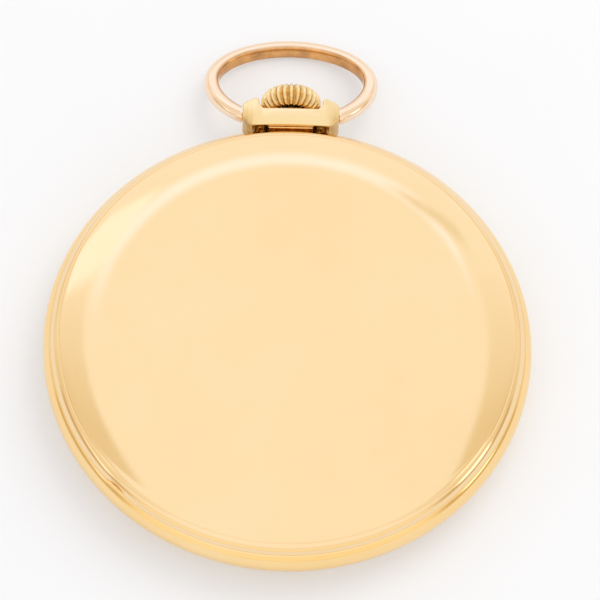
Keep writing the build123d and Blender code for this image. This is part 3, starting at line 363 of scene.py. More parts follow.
# %% Turn the band and the bezel
bore_radius = seam_radius - 2.5 * mm
dial_seat_radius = seam_radius - 2.0 * mm
lip_radius = seam_radius - 0.8 * mm
rear_lip = rear_seam - 0.55 * mm
front_lip = front_seam + 0.75 * mm
dial_seat = front_seam + mm
band_outline = bulged(
    (seam_radius, front_seam), (seam_radius, rear_seam), case_radius - seam_radius, 28
)
band_outline += [
    (lip_radius, rear_seam),
    (lip_radius, rear_lip),
    (bore_radius, rear_lip),
    (bore_radius, dial_seat),
    (dial_seat_radius, dial_seat),
    (dial_seat_radius, front_lip),
    (lip_radius, front_lip),
    (lip_radius, front_seam),
]
work = turned(band_outline, closed=True)
soften(work, 0.05 * mm, 30.0, 2)
finished(work, "case_band", band_gold, "root", ["mid_case"])

glass_bore = glass_high.x + 0.02 * mm
bezel_front = bezel_low.z
bezel_seam = front_seam - seam_gap
glass_seat = glass_high.z + 0.02 * mm
dial_clearance = dial_low.z - 0.1 * mm
glass_lip_radius = glass_high.x - 0.5 * mm
bezel_outline = bulged(
    (glass_bore + 0.5 * mm, bezel_front), (seam_radius, bezel_seam), 0.34 * mm, 18
)
bezel_outline += [
    (skirt_radius, bezel_seam),
    (skirt_radius, bezel_high.z),
    (skirt_radius - skirt_wall, bezel_high.z),
    (skirt_radius - skirt_wall - 0.05 * mm, dial_clearance),
    (dial_high.x - 0.3 * mm, dial_clearance),
    (glass_lip_radius, glass_high.z + 0.3 * mm),
    (glass_lip_radius, glass_seat),
    (glass_bore, glass_seat),
    (glass_bore, bezel_front),
]
work = turned(bezel_outline, closed=True)
soften(work, 0.05 * mm, 30.0, 2)
finished(work, "bezel_ring", band_gold, "bezel", ["bezel"])

# %% Grind the glass
glass_outline = [
    (0, 0),
    (glass_high.x - 1.9 * mm, 0),
    (glass_lip_radius, 0.2 * mm),
    (glass_high.x, 0.55 * mm),
    (glass_high.x, glass_high.z),
    (0, glass_high.z),
]


def clear_glass():
    """Clear mineral glass with the faintest smears."""
    finish, tree, shader = new_finish("crystal_glass")
    smears = noise(tree, placed(tree, turn=0.4, stretch=(120, 40, 60)), 2.0, 4.0)
    tree.links.new(ranged(tree, smears, 0.0, 0.05, 0.5, 0.8), shader.inputs["Roughness"])
    shader.inputs["Base Color"].default_value = (0.97, 0.985, 0.98, 1)
    shader.inputs["Transmission Weight"].default_value = 1.0
    shader.inputs["IOR"].default_value = 1.5
    return finish


work = turned(glass_outline)
soften(work, 0.06 * mm, 12.0, 2)
watch_glass = finished(work, "watch_glass", clear_glass(), "bezel", ["crystal"])

# %% [markdown]
# ## Painted shade in the hollows
# The grooves of the crown, the low sides of the pendant and the inside of the bow
# are painted darker: painted shade and painted reflection of the gold round them.
# An attribute on the mesh says how deep each point lies, and the finish mixes a
# lighter and a deeper painted shade tone by it. An attribute is used because it
# belongs to the mesh, and is there from every side.

# %% A painted shade tone for the hollows
def marked_by(finish, attribute, light_shade_tone, deep_shade_tone, scale):
    """Mix in a darker painted shade tone, faintly mottled, where an attribute of the mesh says so.
    """
    tree = finish.node_tree
    shader = tree.nodes["Principled BSDF"]
    shade_mask = add_node(tree, "ShaderNodeAttribute", attribute_name=attribute)
    shade_mottle = ranged(tree, noise(tree, placed(tree), scale, 5.0), 0.0, 1.0, 0.38, 0.80)
    unshaded_tone = shader.inputs["Base Color"].links[0].from_socket
    both_tones = add_node(tree, "ShaderNodeMix", data_type="RGBA")
    tree.links.new(shade_mask.outputs["Fac"], both_tones.inputs["Factor"])
    tree.links.new(unshaded_tone, both_tones.inputs["A"])
    tree.links.new(blended(tree, shade_mottle, light_shade_tone, deep_shade_tone), both_tones.inputs["B"])
    tree.links.new(both_tones.outputs["Result"], shader.inputs["Base Color"])


# %% [markdown]
# ## The pendant
# The pendant is the block on the band that carries the crown and the bow. Seen
# from the back it is a wide head with a notch for the crown, bevelled corners,
# and a narrow neck under it with a small hollow at each side. Its two faces are
# crowned like a barrel. The head starts as one flat outline that is extruded and
# softened, then sliced finely, so that its faces can be bent and hollowed.

# %% Model the pendant
head_half = head_high.x
head_depth = (head_high.z - head_low.z) / 2
notch_half = (button_high.x - button_low.x) / 2 + 0.1 * mm
notch_floor = case_radius + 1.6 * mm
head_foot = case_radius - 0.2 * mm
neck_half = 2.1 * mm
right_side = [
    (head_half - 0.85 * mm, head_foot),
    (head_half, case_radius + 0.7 * mm),
    (head_half, case_radius + 2.05 * mm),
    (head_half - 0.4 * mm, case_radius + 2.4 * mm),
    (notch_half + 0.35 * mm, case_radius + 2.75 * mm),
    (notch_half + 0.08 * mm, case_radius + 2.65 * mm),
    (notch_half, notch_floor + 0.4 * mm),
    (notch_half - 0.4 * mm, notch_floor),
]
work = bmesh.new()
corners = [work.verts.new((x, y, 0)) for x, y in right_side]
corners += [work.verts.new((-x, y, 0)) for x, y in right_side[::-1]]
head_face = work.faces.new(corners)
raised = bmesh.ops.extrude_face_region(work, geom=[head_face])
raised_verts = [item for item in raised["geom"] if isinstance(item, bmesh.types.BMVert)]
bmesh.ops.translate(work, vec=(0, 0, 2 * head_depth), verts=raised_verts)
bmesh.ops.translate(work, vec=(0, 0, stem_height - head_depth), verts=work.verts)
bmesh.ops.recalc_face_normals(work, faces=work.faces)
soften(work, 0.22 * mm, 40.0, 4)

# %% Slice, hollow and crown the head
def sliced(work, direction, start, stop, pitch):
    """Cut a mesh into thin slices, so that its faces can be bent."""
    count = int(round((stop - start) / pitch))
    for cut in range(count + 1):
        bmesh.ops.bisect_plane(
            work, geom=work.verts[:] + work.edges[:] + work.faces[:], dist=1e-8,
            plane_co=Vector(direction) * (start + pitch * cut), plane_no=direction,
        )


def eased(value):
    """A smooth step between nothing and one."""
    held = max(0.0, min(1.0, value))
    return held * held * (3 - 2 * held)


slice_pitch = 0.2 * mm
face_crown = 0.35 * mm
sliced(work, (1, 0, 0), -4.2 * mm, 4.2 * mm, slice_pitch)
sliced(work, (0, 0, 1), stem_height - 1.5 * mm, stem_height + 1.5 * mm, slice_pitch)
underside_shade = work.verts.layers.float.new("underside_shade")
for vert in work.verts:
    level = (vert.co.z - stem_height) / head_depth
    aside = abs(vert.co.x)
    if vert.co.y < case_radius + 0.5 * mm and aside < head_half - 0.5 * mm:
        plate = eased((1.42 * mm - abs(vert.co.z - stem_height)) / (0.35 * mm))
        cove_start = eased((aside - 1.85 * mm) / (0.4 * mm))
        cove_end = eased((3.45 * mm - aside) / (0.45 * mm))
        near_foot = eased((head_foot + 0.45 * mm - vert.co.y) / (0.4 * mm))
        vert.co.y += plate * near_foot * (0.28 * mm + 0.85 * mm * cove_start * cove_end)
    vert.co.z = stem_height + level * (head_depth - face_crown * (vert.co.x / head_half) ** 2)
    # Low on the side walls, near the band, the head is painted darker: painted shade and painted
    # reflection of the band.
    at_side_wall = eased((1.7 * mm - abs(vert.co.z - stem_height)) / (0.3 * mm))
    low_shade = eased((case_radius + 0.95 * mm - vert.co.y) / (0.4 * mm))
    vert[underside_shade] = 0.9 * at_side_wall * low_shade
# These darker tones on the head's low sides are painted shade and painted reflection.
marked_by(pendant_gold, "underside_shade", (0.74, 0.46, 0.15), (0.42, 0.25, 0.08), 1800.0)
finished(work, "pendant_head", pendant_gold, "root", ["pendant"])

# %% Draw out the neck
neck_foot = seam_radius - 0.2 * mm
neck_rise = head_foot + 0.9 * mm - neck_foot
neck_depth = 1.25 * mm
neck_flare = 0.34
work = bmesh.new()
bmesh.ops.create_grid(work, x_segments=1, y_segments=1, size=1.0)
bmesh.ops.scale(work, vec=(neck_half, neck_depth, 1), verts=work.verts)
tipped = Matrix.Rotation(math.radians(90), 3, "X")
bmesh.ops.rotate(work, cent=(0, 0, 0), matrix=tipped, verts=work.verts)
bmesh.ops.translate(work, vec=(0, neck_foot, stem_height), verts=work.verts)
neck_steps = 12
moving = work.faces[:]
for step in range(neck_steps):
    raised = bmesh.ops.extrude_face_region(work, geom=moving)
    moved = [item for item in raised["geom"] if isinstance(item, bmesh.types.BMVert)]
    moving = [item for item in raised["geom"] if isinstance(item, bmesh.types.BMFace)]
    bmesh.ops.translate(work, vec=(0, neck_rise / neck_steps, 0), verts=moved)
bmesh.ops.recalc_face_normals(work, faces=work.faces)
soften(work, 0.5 * mm, 50.0, 5)
# The whole neck is painted a little darker, and more so towards the head: painted shade and
# painted reflection under the head.
underside_shade = work.verts.layers.float.new("underside_shade")
for vert in work.verts:
    share = (vert.co.y - neck_foot) / neck_rise
    vert[underside_shade] = 0.25 + 0.6 * eased((share - 0.55) / 0.4)
    waist = 1 + neck_flare * (2 * share - 1) ** 2
    vert.co.x *= waist
    vert.co.z = stem_height + (vert.co.z - stem_height) * (0.86 + 0.14 * waist)
marked_by(neck_reflection_gold, "underside_shade", (0.90, 0.52, 0.15), (0.70, 0.38, 0.09), 1800.0)
finished(work, "pendant_neck", neck_reflection_gold, "root")

# %% [markdown]
# ## The bow
# The bow is one bent wire, nearly an oval, whose flat ends face each other and
# carry a small pin each. It has dropped until it rests on the table. A curve
# with a round section makes the wire; its ends are then cut flat.

# %% Bend the bow
pivot = Vector((0, case_radius + 1.5 * mm, stem_height))
nominal_radius = 0.75 * mm
full_radius = 0.79 * mm
bow_half = 7.45 * mm
bow_reach = 9.6 * mm
upper_half = 4.9 * mm
lower_half = 5.6 * mm
bow_end = head_half + 0.07 * mm
droop = math.asin((stem_height - full_radius) / bow_reach)
bow_turn = Matrix.Translation(pivot) @ Matrix.Rotation(-droop, 4, "X")
end_turn = math.acos((bow_end - 0.4 * mm) / bow_half)
end_thinning = 0.06
bow_steps = 150
curve = bpy.data.curves.new("bow_route", "CURVE")
curve.dimensions = "3D"
curve.bevel_depth = full_radius
curve.bevel_resolution = 10
curve.use_fill_caps = True
route = curve.splines.new("POLY")
route.points.add(bow_steps)
for index, point in enumerate(route.points):
    turn = -end_turn + (math.pi + 2 * end_turn) * index / bow_steps
    height = upper_half if math.sin(turn) > 0 else lower_half
    at = Vector((bow_half * math.cos(turn), bow_reach - upper_half + height * math.sin(turn), 0))
    point.co = (*(bow_turn @ at), 1)
    near_end = min(index, bow_steps - index) / bow_steps
    point.radius = 1 - end_thinning + end_thinning * min(1, near_end * 8)
route_points = [point.co.copy() for point in route.points]
wire = bpy.data.objects.new("bow_route", curve)
bpy.context.scene.collection.objects.link(wire)
evaluated = wire.evaluated_get(bpy.context.evaluated_depsgraph_get())
wire_mesh = bpy.data.meshes.new_from_object(evaluated)
print("bow droops degrees", round(math.degrees(droop), 1))

# %% Cut the bow's ends, flatten its inner side and add the pins
work = bmesh.new()
work.from_mesh(wire_mesh)
bpy.data.objects.remove(wire)
bmesh.ops.remove_doubles(work, verts=work.verts, dist=1e-7)
for side in (-1, 1):
    near = [v for v in work.verts if v.co.x * side > 0 and v.co.y < pivot.y + 2.5 * mm]
    faces = [f for f in work.faces if all(v in near for v in f.verts)]
    region = near + faces + [e for e in work.edges if all(v in near for v in e.verts)]
    bmesh.ops.bisect_plane(
        work, geom=region, dist=1e-8, plane_co=(side * bow_end, 0, 0),
        plane_no=(side, 0, 0), clear_inner=True,
    )
bmesh.ops.holes_fill(work, edges=[e for e in work.edges if e.is_boundary], sides=0)
soften(work, 0.12 * mm, 50.0, 3)
bow_middle = bow_turn @ Vector((0, bow_reach - upper_half, 0))
bow_plane = (bow_turn.to_3x3() @ Vector((0, 0, 1))).normalized()
stations = [Vector(place[:3]) for place in route_points]
flat_side = 0.66 * nominal_radius
flattening = 0.75
inner_side_shade = work.verts.layers.float.new("inner_side_shade")
for vert in work.verts:
    station = min(stations, key=lambda place: (place - vert.co).length_squared)
    number = stations.index(station)
    ahead = stations[min(number + 1, bow_steps)] - stations[max(number - 1, 0)]
    inward = bow_plane.cross(ahead).normalized()
    if inward.dot(bow_middle - station) < 0:
        inward = -inward
    offset = (vert.co - station).dot(inward)
    # The inner side of the wire is painted darker and more orange: painted reflection and painted
    # shade from the pendant and crown.
    vert[inner_side_shade] = eased((offset / nominal_radius - 0.35) / 0.25)
    if offset > flat_side:
        vert.co -= inward * (offset - flat_side) * flattening
pin_radius = 0.4 * mm
for side in (-1, 1):
    pin_middle = pivot - Vector((-side * (bow_end - 0.45 * mm), 0, 0))
    lying = Matrix.Rotation(math.radians(90), 4, "Y")
    bmesh.ops.create_cone(
        work, cap_ends=True, segments=24, radius1=pin_radius, radius2=pin_radius,
        depth=1.3 * mm, matrix=Matrix.Translation(pin_middle) @ lying,
    )
bmesh.ops.recalc_face_normals(work, faces=work.faces)
# The darker tones on the bow's inner side are painted reflection and painted shade.
marked_by(bow_gold, "inner_side_shade", (0.80, 0.42, 0.16), (0.42, 0.21, 0.09), 700.0)
finished(work, "bow_ring", bow_gold, "bow", ["bow"])

# %% [markdown]
# ## The winding crown
# The crown is an onion of gold with twenty-six flutes for finger and thumb. It
# is turned first, as a plain button, with enough facets to hold the flutes.
# Then every point is drawn in by a wave round the axis: the wave is deepest at
# the widest ring and dies out over the dome, as a milling cutter leaves it.

# %% Turn and flute the crown
flutes = 26
flute_depth = 0.30 * mm
button_radius = (button_high.x - button_low.x) / 2
button_base = button_low.y
button_bore = 0.45 * mm
bore_depth = 1.0 * mm
side_round = 1.38 * mm
widest_rise = 1.3 * mm
button_outline = [
    (0, bore_depth),
    (button_bore, bore_depth),
    (button_bore, 0),
    (1.0 * mm, 0.0),
    (1.1 * mm, 0.12 * mm),
    (1.5 * mm, 0.12 * mm),
    (button_radius - 1.15 * mm, 0.0),
]
side_steps = 26
for step in range(1, side_steps + 1):
    turn = math.radians(-62 + 136 * step / side_steps)
    ring = button_radius - side_round + side_round * math.cos(turn)
    rise = widest_rise + widest_rise * math.sin(turn) * (1.0 if turn > 0 else 0.98)
    button_outline.append((ring, rise))
last_ring, last_rise = button_outline[-1]
dome_rise = 2.7 * mm - last_rise
dome_steps = 8
for step in range(1, dome_steps + 1):
    share = step / dome_steps
    rise = last_rise + dome_rise * (1 - (1 - share) ** 2)
    button_outline.append((last_ring * (1 - share), rise))
work = turned(button_outline, steps=flutes * 12)
print("crown radius mm", round(button_radius / mm, 2), "flutes", flutes)

# %% Cut the flutes and set the crown on the stem
squat = 0.93
groove_shade = work.verts.layers.float.new("groove_shade")
for vert in work.verts:
    radius = math.hypot(vert.co.x, vert.co.y)
    angle = math.atan2(vert.co.y, vert.co.x)
    hollow = math.cos(angle * flutes / 2) ** 2
    reach = eased((radius - 0.75 * mm) / (1.3 * mm))
    on_side = vert.co.z > 0.02 * mm and radius > 1.7 * mm
    if on_side or vert.co.z > 1.2 * mm:
        draw = flute_depth * hollow * reach
        # Grooves, and the crown low down by its foot, are painted darker: painted shade in the
        # hollows.
        low_shade = 0.45 * eased((1.3 * mm - vert.co.z) / (1.2 * mm))
        vert[groove_shade] = min(1.0, reach * hollow ** 2 * 0.90 + low_shade)
        vert.co.x *= 1 - draw / max(radius, 1e-6)
        vert.co.y *= 1 - draw / max(radius, 1e-6)
seated = Matrix.Translation((0, button_base - 0.03 * mm, stem_height))
upright = seated @ Matrix.Rotation(math.radians(-90), 4, "X")
bmesh.ops.scale(work, vec=(1, 1, squat), verts=work.verts)
bmesh.ops.transform(work, matrix=upright, verts=work.verts)
# The darker tones in the crown's grooves are painted shade.
marked_by(crown_gold, "groove_shade", (0.66, 0.36, 0.10), (0.34, 0.17, 0.05), 2600.0)
finished(work, "fluted_crown", crown_gold, "crown", ["crown"])

# %% [markdown]
# ## Finishes for the works
# Bridges and plate are nickel-plated, striped on top by a rocking grindstone.
# Wheels are gilt brass, brushed round their own centres, so each wheel needs
# the centre of its own turning. Screws and springs are heated until they turn
# blue, and the jewels are ruby.

# %% Finishes made of turned or striped metal
def striped_nickel(name, pitch):
    """Nickel with broad shallow stripes and a fine grain across them."""
    finish, tree, shader = new_finish(name)
    even = placed(tree)
    grain = noise(tree, placed(tree, turn=0.6, stretch=(300, 9000, 300)), 1.0, 2.0)
    stripes = add_node(
        tree, "ShaderNodeTexWave", wave_type="BANDS", bands_direction="X", wave_profile="SAW"
    )
    stripes.inputs["Scale"].default_value = math.pi / (10 * pitch)
    stripes.inputs["Distortion"].default_value = 0.0
    tree.links.new(placed(tree, turn=0.6), stripes.inputs["Vector"])
    tone = blended(tree, stripes.outputs["Fac"], (0.74, 0.72, 0.68), (0.58, 0.56, 0.53))
    tree.links.new(tone, shader.inputs["Base Color"])
    rubbed = noise(tree, even, 260.0, 4.0)
    tree.links.new(ranged(tree, rubbed, 0.20, 0.34), shader.inputs["Roughness"])
    bumped(tree, shader, grain, 0.8e-6, 0.5)
    shader.inputs["Metallic"].default_value = 1.0
    return finish


def pearled_nickel(name, pitch):
    """Nickel covered with rows of small round brushed spots."""
    finish, tree, shader = new_finish(name)
    rows = add_node(tree, "ShaderNodeVectorMath", operation="SCALE")
    rows.inputs["Scale"].default_value = 1 / pitch
    tree.links.new(placed(tree), rows.inputs[0])
    cell = add_node(tree, "ShaderNodeVectorMath", operation="FRACTION")
    tree.links.new(rows.outputs[0], cell.inputs[0])
    offset = add_node(tree, "ShaderNodeVectorMath", operation="SUBTRACT")
    offset.inputs[1].default_value = (0.5, 0.5, 0.0)
    tree.links.new(cell.outputs[0], offset.inputs[0])
    level = add_node(tree, "ShaderNodeVectorMath", operation="MULTIPLY")
    level.inputs[1].default_value = (1, 1, 0)
    tree.links.new(offset.outputs[0], level.inputs[0])
    away = add_node(tree, "ShaderNodeVectorMath", operation="LENGTH")
    tree.links.new(level.outputs[0], away.inputs[0])
    spot = ranged(tree, away.outputs["Value"], 1.0, 0.0, 0.1, 0.7)
    tone = blended(tree, spot, (0.66, 0.63, 0.57), (0.76, 0.73, 0.67))
    tree.links.new(tone, shader.inputs["Base Color"])
    rings = add_node(tree, "ShaderNodeMath", operation="SINE")
    tight = add_node(tree, "ShaderNodeMath", operation="MULTIPLY")
    tight.inputs[1].default_value = 60.0
    tree.links.new(away.outputs["Value"], tight.inputs[0])
    tree.links.new(tight.outputs[0], rings.inputs[0])
    tree.links.new(ranged(tree, spot, 0.34, 0.24, 0.0, 1.0), shader.inputs["Roughness"])
    bumped(tree, shader, rings.outputs[0], 1.5e-6, 0.4)
    shader.inputs["Metallic"].default_value = 1.0
    return finish


def turned_metal(name, bright, deep, smooth, dull, centre=(0, 0, 0), lines=60.0):
    """Metal brushed round a centre, between two tones."""
    finish, tree, shader = new_finish(name)
    about = placed(tree, centre)
    brushed = spokes(tree, about, lines)
    clouds = noise(tree, about, 420.0, 3.0)
    tone = blended(tree, ranged(tree, clouds, 0.0, 1.0), bright, deep)
    tree.links.new(tone, shader.inputs["Base Color"])
    tree.links.new(ranged(tree, brushed, smooth, dull), shader.inputs["Roughness"])
    bumped(tree, shader, brushed, 2e-6, 0.3)
    shader.inputs["Metallic"].default_value = 1.0
    return finish


def fine_grained(name, bright, deep, smooth, dull, scale=700.0):
    """Metal with an even fine grain."""
    finish, tree, shader = new_finish(name)
    even = placed(tree)
    clouds = noise(tree, even, scale, 4.0)
    tone = blended(tree, ranged(tree, clouds, 0.0, 1.0), bright, deep)
    tree.links.new(tone, shader.inputs["Base Color"])
    tree.links.new(ranged(tree, clouds, smooth, dull), shader.inputs["Roughness"])
    bumped(tree, shader, noise(tree, even, scale * 6, 2.0), 1.2e-6, 0.35)
    shader.inputs["Metallic"].default_value = 1.0
    return finish


def ruby(name):
    """Clear red stone with faint clouds."""
    finish, tree, shader = new_finish(name)
    clouds = noise(tree, placed(tree), 1500.0, 3.0)
    tone = blended(tree, clouds, (0.72, 0.03, 0.10), (0.90, 0.12, 0.22))
    tree.links.new(tone, shader.inputs["Base Color"])
    tree.links.new(ranged(tree, clouds, 0.03, 0.10), shader.inputs["Roughness"])
    shader.inputs["IOR"].default_value = 1.77
    shader.inputs["Transmission Weight"].default_value = 0.55
    return finish


def dial_enamel(name):
    """Silvered dial: a frosted pale ground with a fine grain."""
    finish, tree, shader = new_finish(name)
    even = placed(tree)
    frost = noise(tree, even, 9000.0, 2.0)
    clouds = noise(tree, even, 160.0, 4.0)
    patches = ranged(tree, clouds, 0.0, 1.0)
    tone = blended(tree, patches, (0.86, 0.85, 0.80), (0.80, 0.785, 0.73))
    tree.links.new(tone, shader.inputs["Base Color"])
    tree.links.new(ranged(tree, frost, 0.38, 0.52), shader.inputs["Roughness"])
    bumped(tree, shader, frost, 1.5e-6, 0.4)
    shader.inputs["Metallic"].default_value = 0.25
    return finish


# %% [markdown]
# ## Putting the finishes on
# A wheel's brushing has to run round its own arbor. The middle of a wheel's
# box is its arbor, so the box gives the centre, and one loop dresses them all.

# %% Dress the pieces that came with the frame
def dress(node, finish):
    """Give a node that came with the frame one finish."""
    mesh = nodes[node].data
    mesh.materials.clear()
    mesh.materials.append(finish)


def middle_of(node):
    """The centre of a node's box."""
    low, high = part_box(node)
    return (low + high) / 2


gilt_tones = (0.90, 0.68, 0.36), (0.82, 0.58, 0.28)
gilt = *gilt_tones, 0.20, 0.36
steel_tones = (0.66, 0.67, 0.69), (0.52, 0.53, 0.55), 0.16, 0.32
blue_tones = (0.045, 0.075, 0.30), (0.02, 0.04, 0.19), 0.16, 0.28
print("balance arbor at mm", [round(value / mm, 2) for value in middle_of("balance_wheel")])

# %% Dress the wheels, then everything else
gilt_wheels = [
    "barrel_drum", "barrel_cover", "centre_wheel", "minute_wheel", "setting_wheel", "hour_wheel",
    "third_wheel", "fourth_wheel", "balance_wheel",
]
steel_wheels = ["escape_wheel", "ratchet_wheel", "crown_wheel", "roller"]
for wheel in gilt_wheels:
    dress(wheel, turned_metal(wheel + "_gilt", *gilt, centre=middle_of(wheel)))
for wheel in steel_wheels:
    brushed = turned_metal(wheel + "_steel", *steel_tones, centre=middle_of(wheel), lines=90.0)
    dress(wheel, brushed)

striped = striped_nickel("striped_nickel", 1.3 * mm)
pearled = pearled_nickel("pearled_nickel", 0.9 * mm)
plain_steel = fine_grained("plain_steel", *steel_tones)
screw_blue = fine_grained("screw_blue", *blue_tones)
spring_tones = (0.05, 0.09, 0.36), (0.03, 0.05, 0.24)
spring_blue = fine_grained("spring_blue", *spring_tones, 0.14, 0.26)
hand_tones = (0.03, 0.05, 0.22), (0.015, 0.03, 0.13)
hand_blue = fine_grained("hand_blue", *hand_tones, 0.14, 0.24)
balance_gilt = fine_grained("balance_gilt", *gilt_tones, 0.14, 0.24)
stone = ruby("stone")
finish_of = {
    striped: ["barrel_bridge", "train_bridge", "balance_cock"],
    pearled: ["main_plate", "pallet_cock"],
    screw_blue: ["bridge_screws", "case_screws", "small_screws", "ratchet_screw"],
    spring_blue: ["hairspring", "mainspring"],
    hand_blue: ["hour_hand", "minute_hand", "seconds_hand"],
    balance_gilt: ["balance_screws"],
    stone: ["train_jewels", "balance_jewels", "pallet_stones", "impulse_jewel"],
    dial_enamel("dial_enamel"): ["dial"],
}
dressed = set(gilt_wheels + steel_wheels)
for finish, members in finish_of.items():
    for node in members:
        dress(node, finish)
        dressed.add(node)
remade = {"mid_case", "rear_cover", "bezel", "crystal", "pendant", "bow", "crown"}
for node in nodes:
    if node not in dressed and node not in remade:
        dress(node, plain_steel)
for node, finish in zip(
    ["mid_case", "rear_cover", "bezel", "pendant", "bow", "crown"],
    [band_gold, case_gold, band_gold, pendant_gold, bow_gold, crown_gold],
):
    dress(node, finish)
dress("crystal", watch_glass.data.materials[0])
print("nodes dressed", len(nodes))

# %% [markdown]
# ## Printing on the dial
# The dial looks down, so everything printed on it is made flat, turned over,
# and set a hair below its face. Figures come from Blender's own font; each is
# turned into a mesh, given a little thickness, and moved to its hour. Tracks are
# thin rings and ticks.

# %% Print the dial
ink_thickness = 0.02 * mm
fourth_middle = middle_of("fourth_wheel")
seconds_sink = 0.1 * mm


def printers_ink(name):
    """Black dial ink, slightly uneven."""
    finish, tree, shader = new_finish(name)
    patches = noise(tree, placed(tree), 3000.0, 3.0)
    tone = blended(tree, patches, (0.012, 0.012, 0.016), (0.03, 0.03, 0.036))
    tree.links.new(tone, shader.inputs["Base Color"])
    tree.links.new(ranged(tree, patches, 0.32, 0.5), shader.inputs["Roughness"])
    return finish


ink = printers_ink("dial_ink")


def on_dial(clock_degrees, radius):
    """A point on the dial, clockwise from twelve as the dial is read."""
    turn = math.radians(clock_degrees)
    return Vector((-radius * math.sin(turn), radius * math.cos(turn), 0))


def figures(name, labels, radius, size, centre, height):
    """Upright figures round a centre, joined into one mesh piece."""
    joined = bmesh.new()
    for label, degrees in labels:
        curve = bpy.data.curves.new("figure", "FONT")
        curve.body = label
        curve.size = size
        curve.align_x = "CENTER"
        curve.align_y = "CENTER"
        curve.extrude = ink_thickness / 2
        curve.resolution_u = 4
        text = bpy.data.objects.new("figure", curve)
        bpy.context.scene.collection.objects.link(text)
        evaluated = text.evaluated_get(bpy.context.evaluated_depsgraph_get())
        shape = bpy.data.meshes.new_from_object(evaluated)
        bpy.data.objects.remove(text)
        middle = Vector()
        for axis in range(2):
            reach = [vert.co[axis] for vert in shape.vertices]
            middle[axis] = (min(reach) + max(reach)) / 2
        place = centre + on_dial(degrees, radius) + Vector((0, 0, height))
        shape.transform(Matrix.Translation(-middle))
        shape.transform(Matrix.Rotation(math.pi, 4, "Y"))
        shape.transform(Matrix.Translation(place))
        joined.from_mesh(shape)
    bmesh.ops.remove_doubles(joined, verts=joined.verts, dist=1e-8)
    piece = finished(joined, name, ink, "root")
    piece.data.shade_flat()
    return piece


# %% Tracks, and the whole print
def track(name, centre, radius, width, ticks, long_every, height):
    """A ring with ticks standing outwards from it, joined into one mesh piece."""
    work = turned(
        [
            (radius, height - ink_thickness / 2),
            (radius + width, height - ink_thickness / 2),
            (radius + width, height + ink_thickness / 2),
            (radius, height + ink_thickness / 2),
        ],
        closed=True, steps=120,
    )
    for tick in range(ticks):
        is_long = tick % long_every == 0
        length = 9 * width if is_long else 6 * width
        broad = 3.2 * width if is_long else 1.2 * width
        turn = -2 * math.pi * tick / ticks
        standing = Matrix.Translation((0, radius + length / 2, height))
        sized = Matrix.Diagonal((broad, length, ink_thickness, 1))
        placing = Matrix.Rotation(-turn, 4, "Z") @ standing
        bmesh.ops.create_cube(work, size=1.0, matrix=placing @ sized)
    bmesh.ops.translate(work, vec=centre, verts=work.verts)
    bmesh.ops.recalc_face_normals(work, faces=work.faces)
    piece = finished(work, name, ink, "root")
    piece.data.shade_flat()
    return piece


seconds_middle = Vector((fourth_middle.x, fourth_middle.y, 0))
dial_face = dial_low.z - ink_thickness / 2
sunk_face = dial_face + seconds_sink
hours = [(str(hour), hour * 30) for hour in range(1, 13) if hour != 6]
tens = [(str(second), second * 6) for second in range(10, 61, 10)]
track("minute_track", Vector(), 17.3 * mm, 0.08 * mm, 60, 5, dial_face)
figures("hour_figures", hours, 14.6 * mm, 3.9 * mm, Vector(), dial_face)
track("seconds_track", seconds_middle, 3.35 * mm, 0.05 * mm, 60, 5, sunk_face)
figures("seconds_figures", tens, 2.7 * mm, 0.95 * mm, seconds_middle, sunk_face)

# %% [markdown]
# ## The floor
# The watch lies on a large sheet of white paper over a faint light from below,
# which keeps shadows pale. Paper is matt, and has a very faint mottle.

# %% Lay the paper
work = bmesh.new()
bmesh.ops.create_grid(work, x_segments=1, y_segments=1, size=1.5)
bmesh.ops.translate(work, vec=(0, 0, -0.02 * mm), verts=work.verts)
paper_mesh = bpy.data.meshes.new("paper")
work.to_mesh(paper_mesh)
work.free()
paper = bpy.data.objects.new("paper", paper_mesh)
bpy.context.scene.collection.objects.link(paper)
paper_finish, tree, shader = new_finish("paper")
mottle = noise(tree, placed(tree), 60.0, 3.0)
tone = blended(tree, mottle, (0.59, 0.588, 0.59), (0.62, 0.618, 0.62))
tree.links.new(tone, shader.inputs["Base Color"])
shader.inputs["Roughness"].default_value = 0.85
shader.inputs["Specular IOR Level"].default_value = 0.1
shader.inputs["Emission Color"].default_value = (0.97, 0.985, 1.0, 1)
shader.inputs["Emission Strength"].default_value = 0.335
paper_mesh.materials.append(paper_finish)
print("paper metres across", round(paper.dimensions.x, 2))

# %% [markdown]
# ## Light
# A small polished thing shows its surroundings more than itself. So the light
# is a tent: bright almost everywhere, a little warmer and darker low down, which
# gives the gold its depth at the edges. One large soft lamp, high on the right,
# makes the faint shadow that sets the watch on the paper. The cards are seen in
# reflections only, and the paper is lit by an even pale light, so that it stays
# white.

# %% Build the light tent
world = bpy.data.worlds.new("light_tent")
bpy.context.scene.world = world
world.use_nodes = True
tree = world.node_tree
backdrop = tree.nodes["Background"]
looking = add_node(tree, "ShaderNodeTexCoord").outputs["Generated"]
split = add_node(tree, "ShaderNodeSeparateXYZ")
tree.links.new(looking, split.inputs[0])
across, along, upward = split.outputs["X"], split.outputs["Y"], split.outputs["Z"]


def maths(operation, first, second):
    """One sum in the light tent's node tree; a number or a socket goes in."""
    node = add_node(tree, "ShaderNodeMath", operation=operation)
    for slot_number, value in enumerate((first, second)):
        if isinstance(value, (int, float)):
            node.inputs[slot_number].default_value = value
        else:
            tree.links.new(value, node.inputs[slot_number])
    return node.outputs[0]


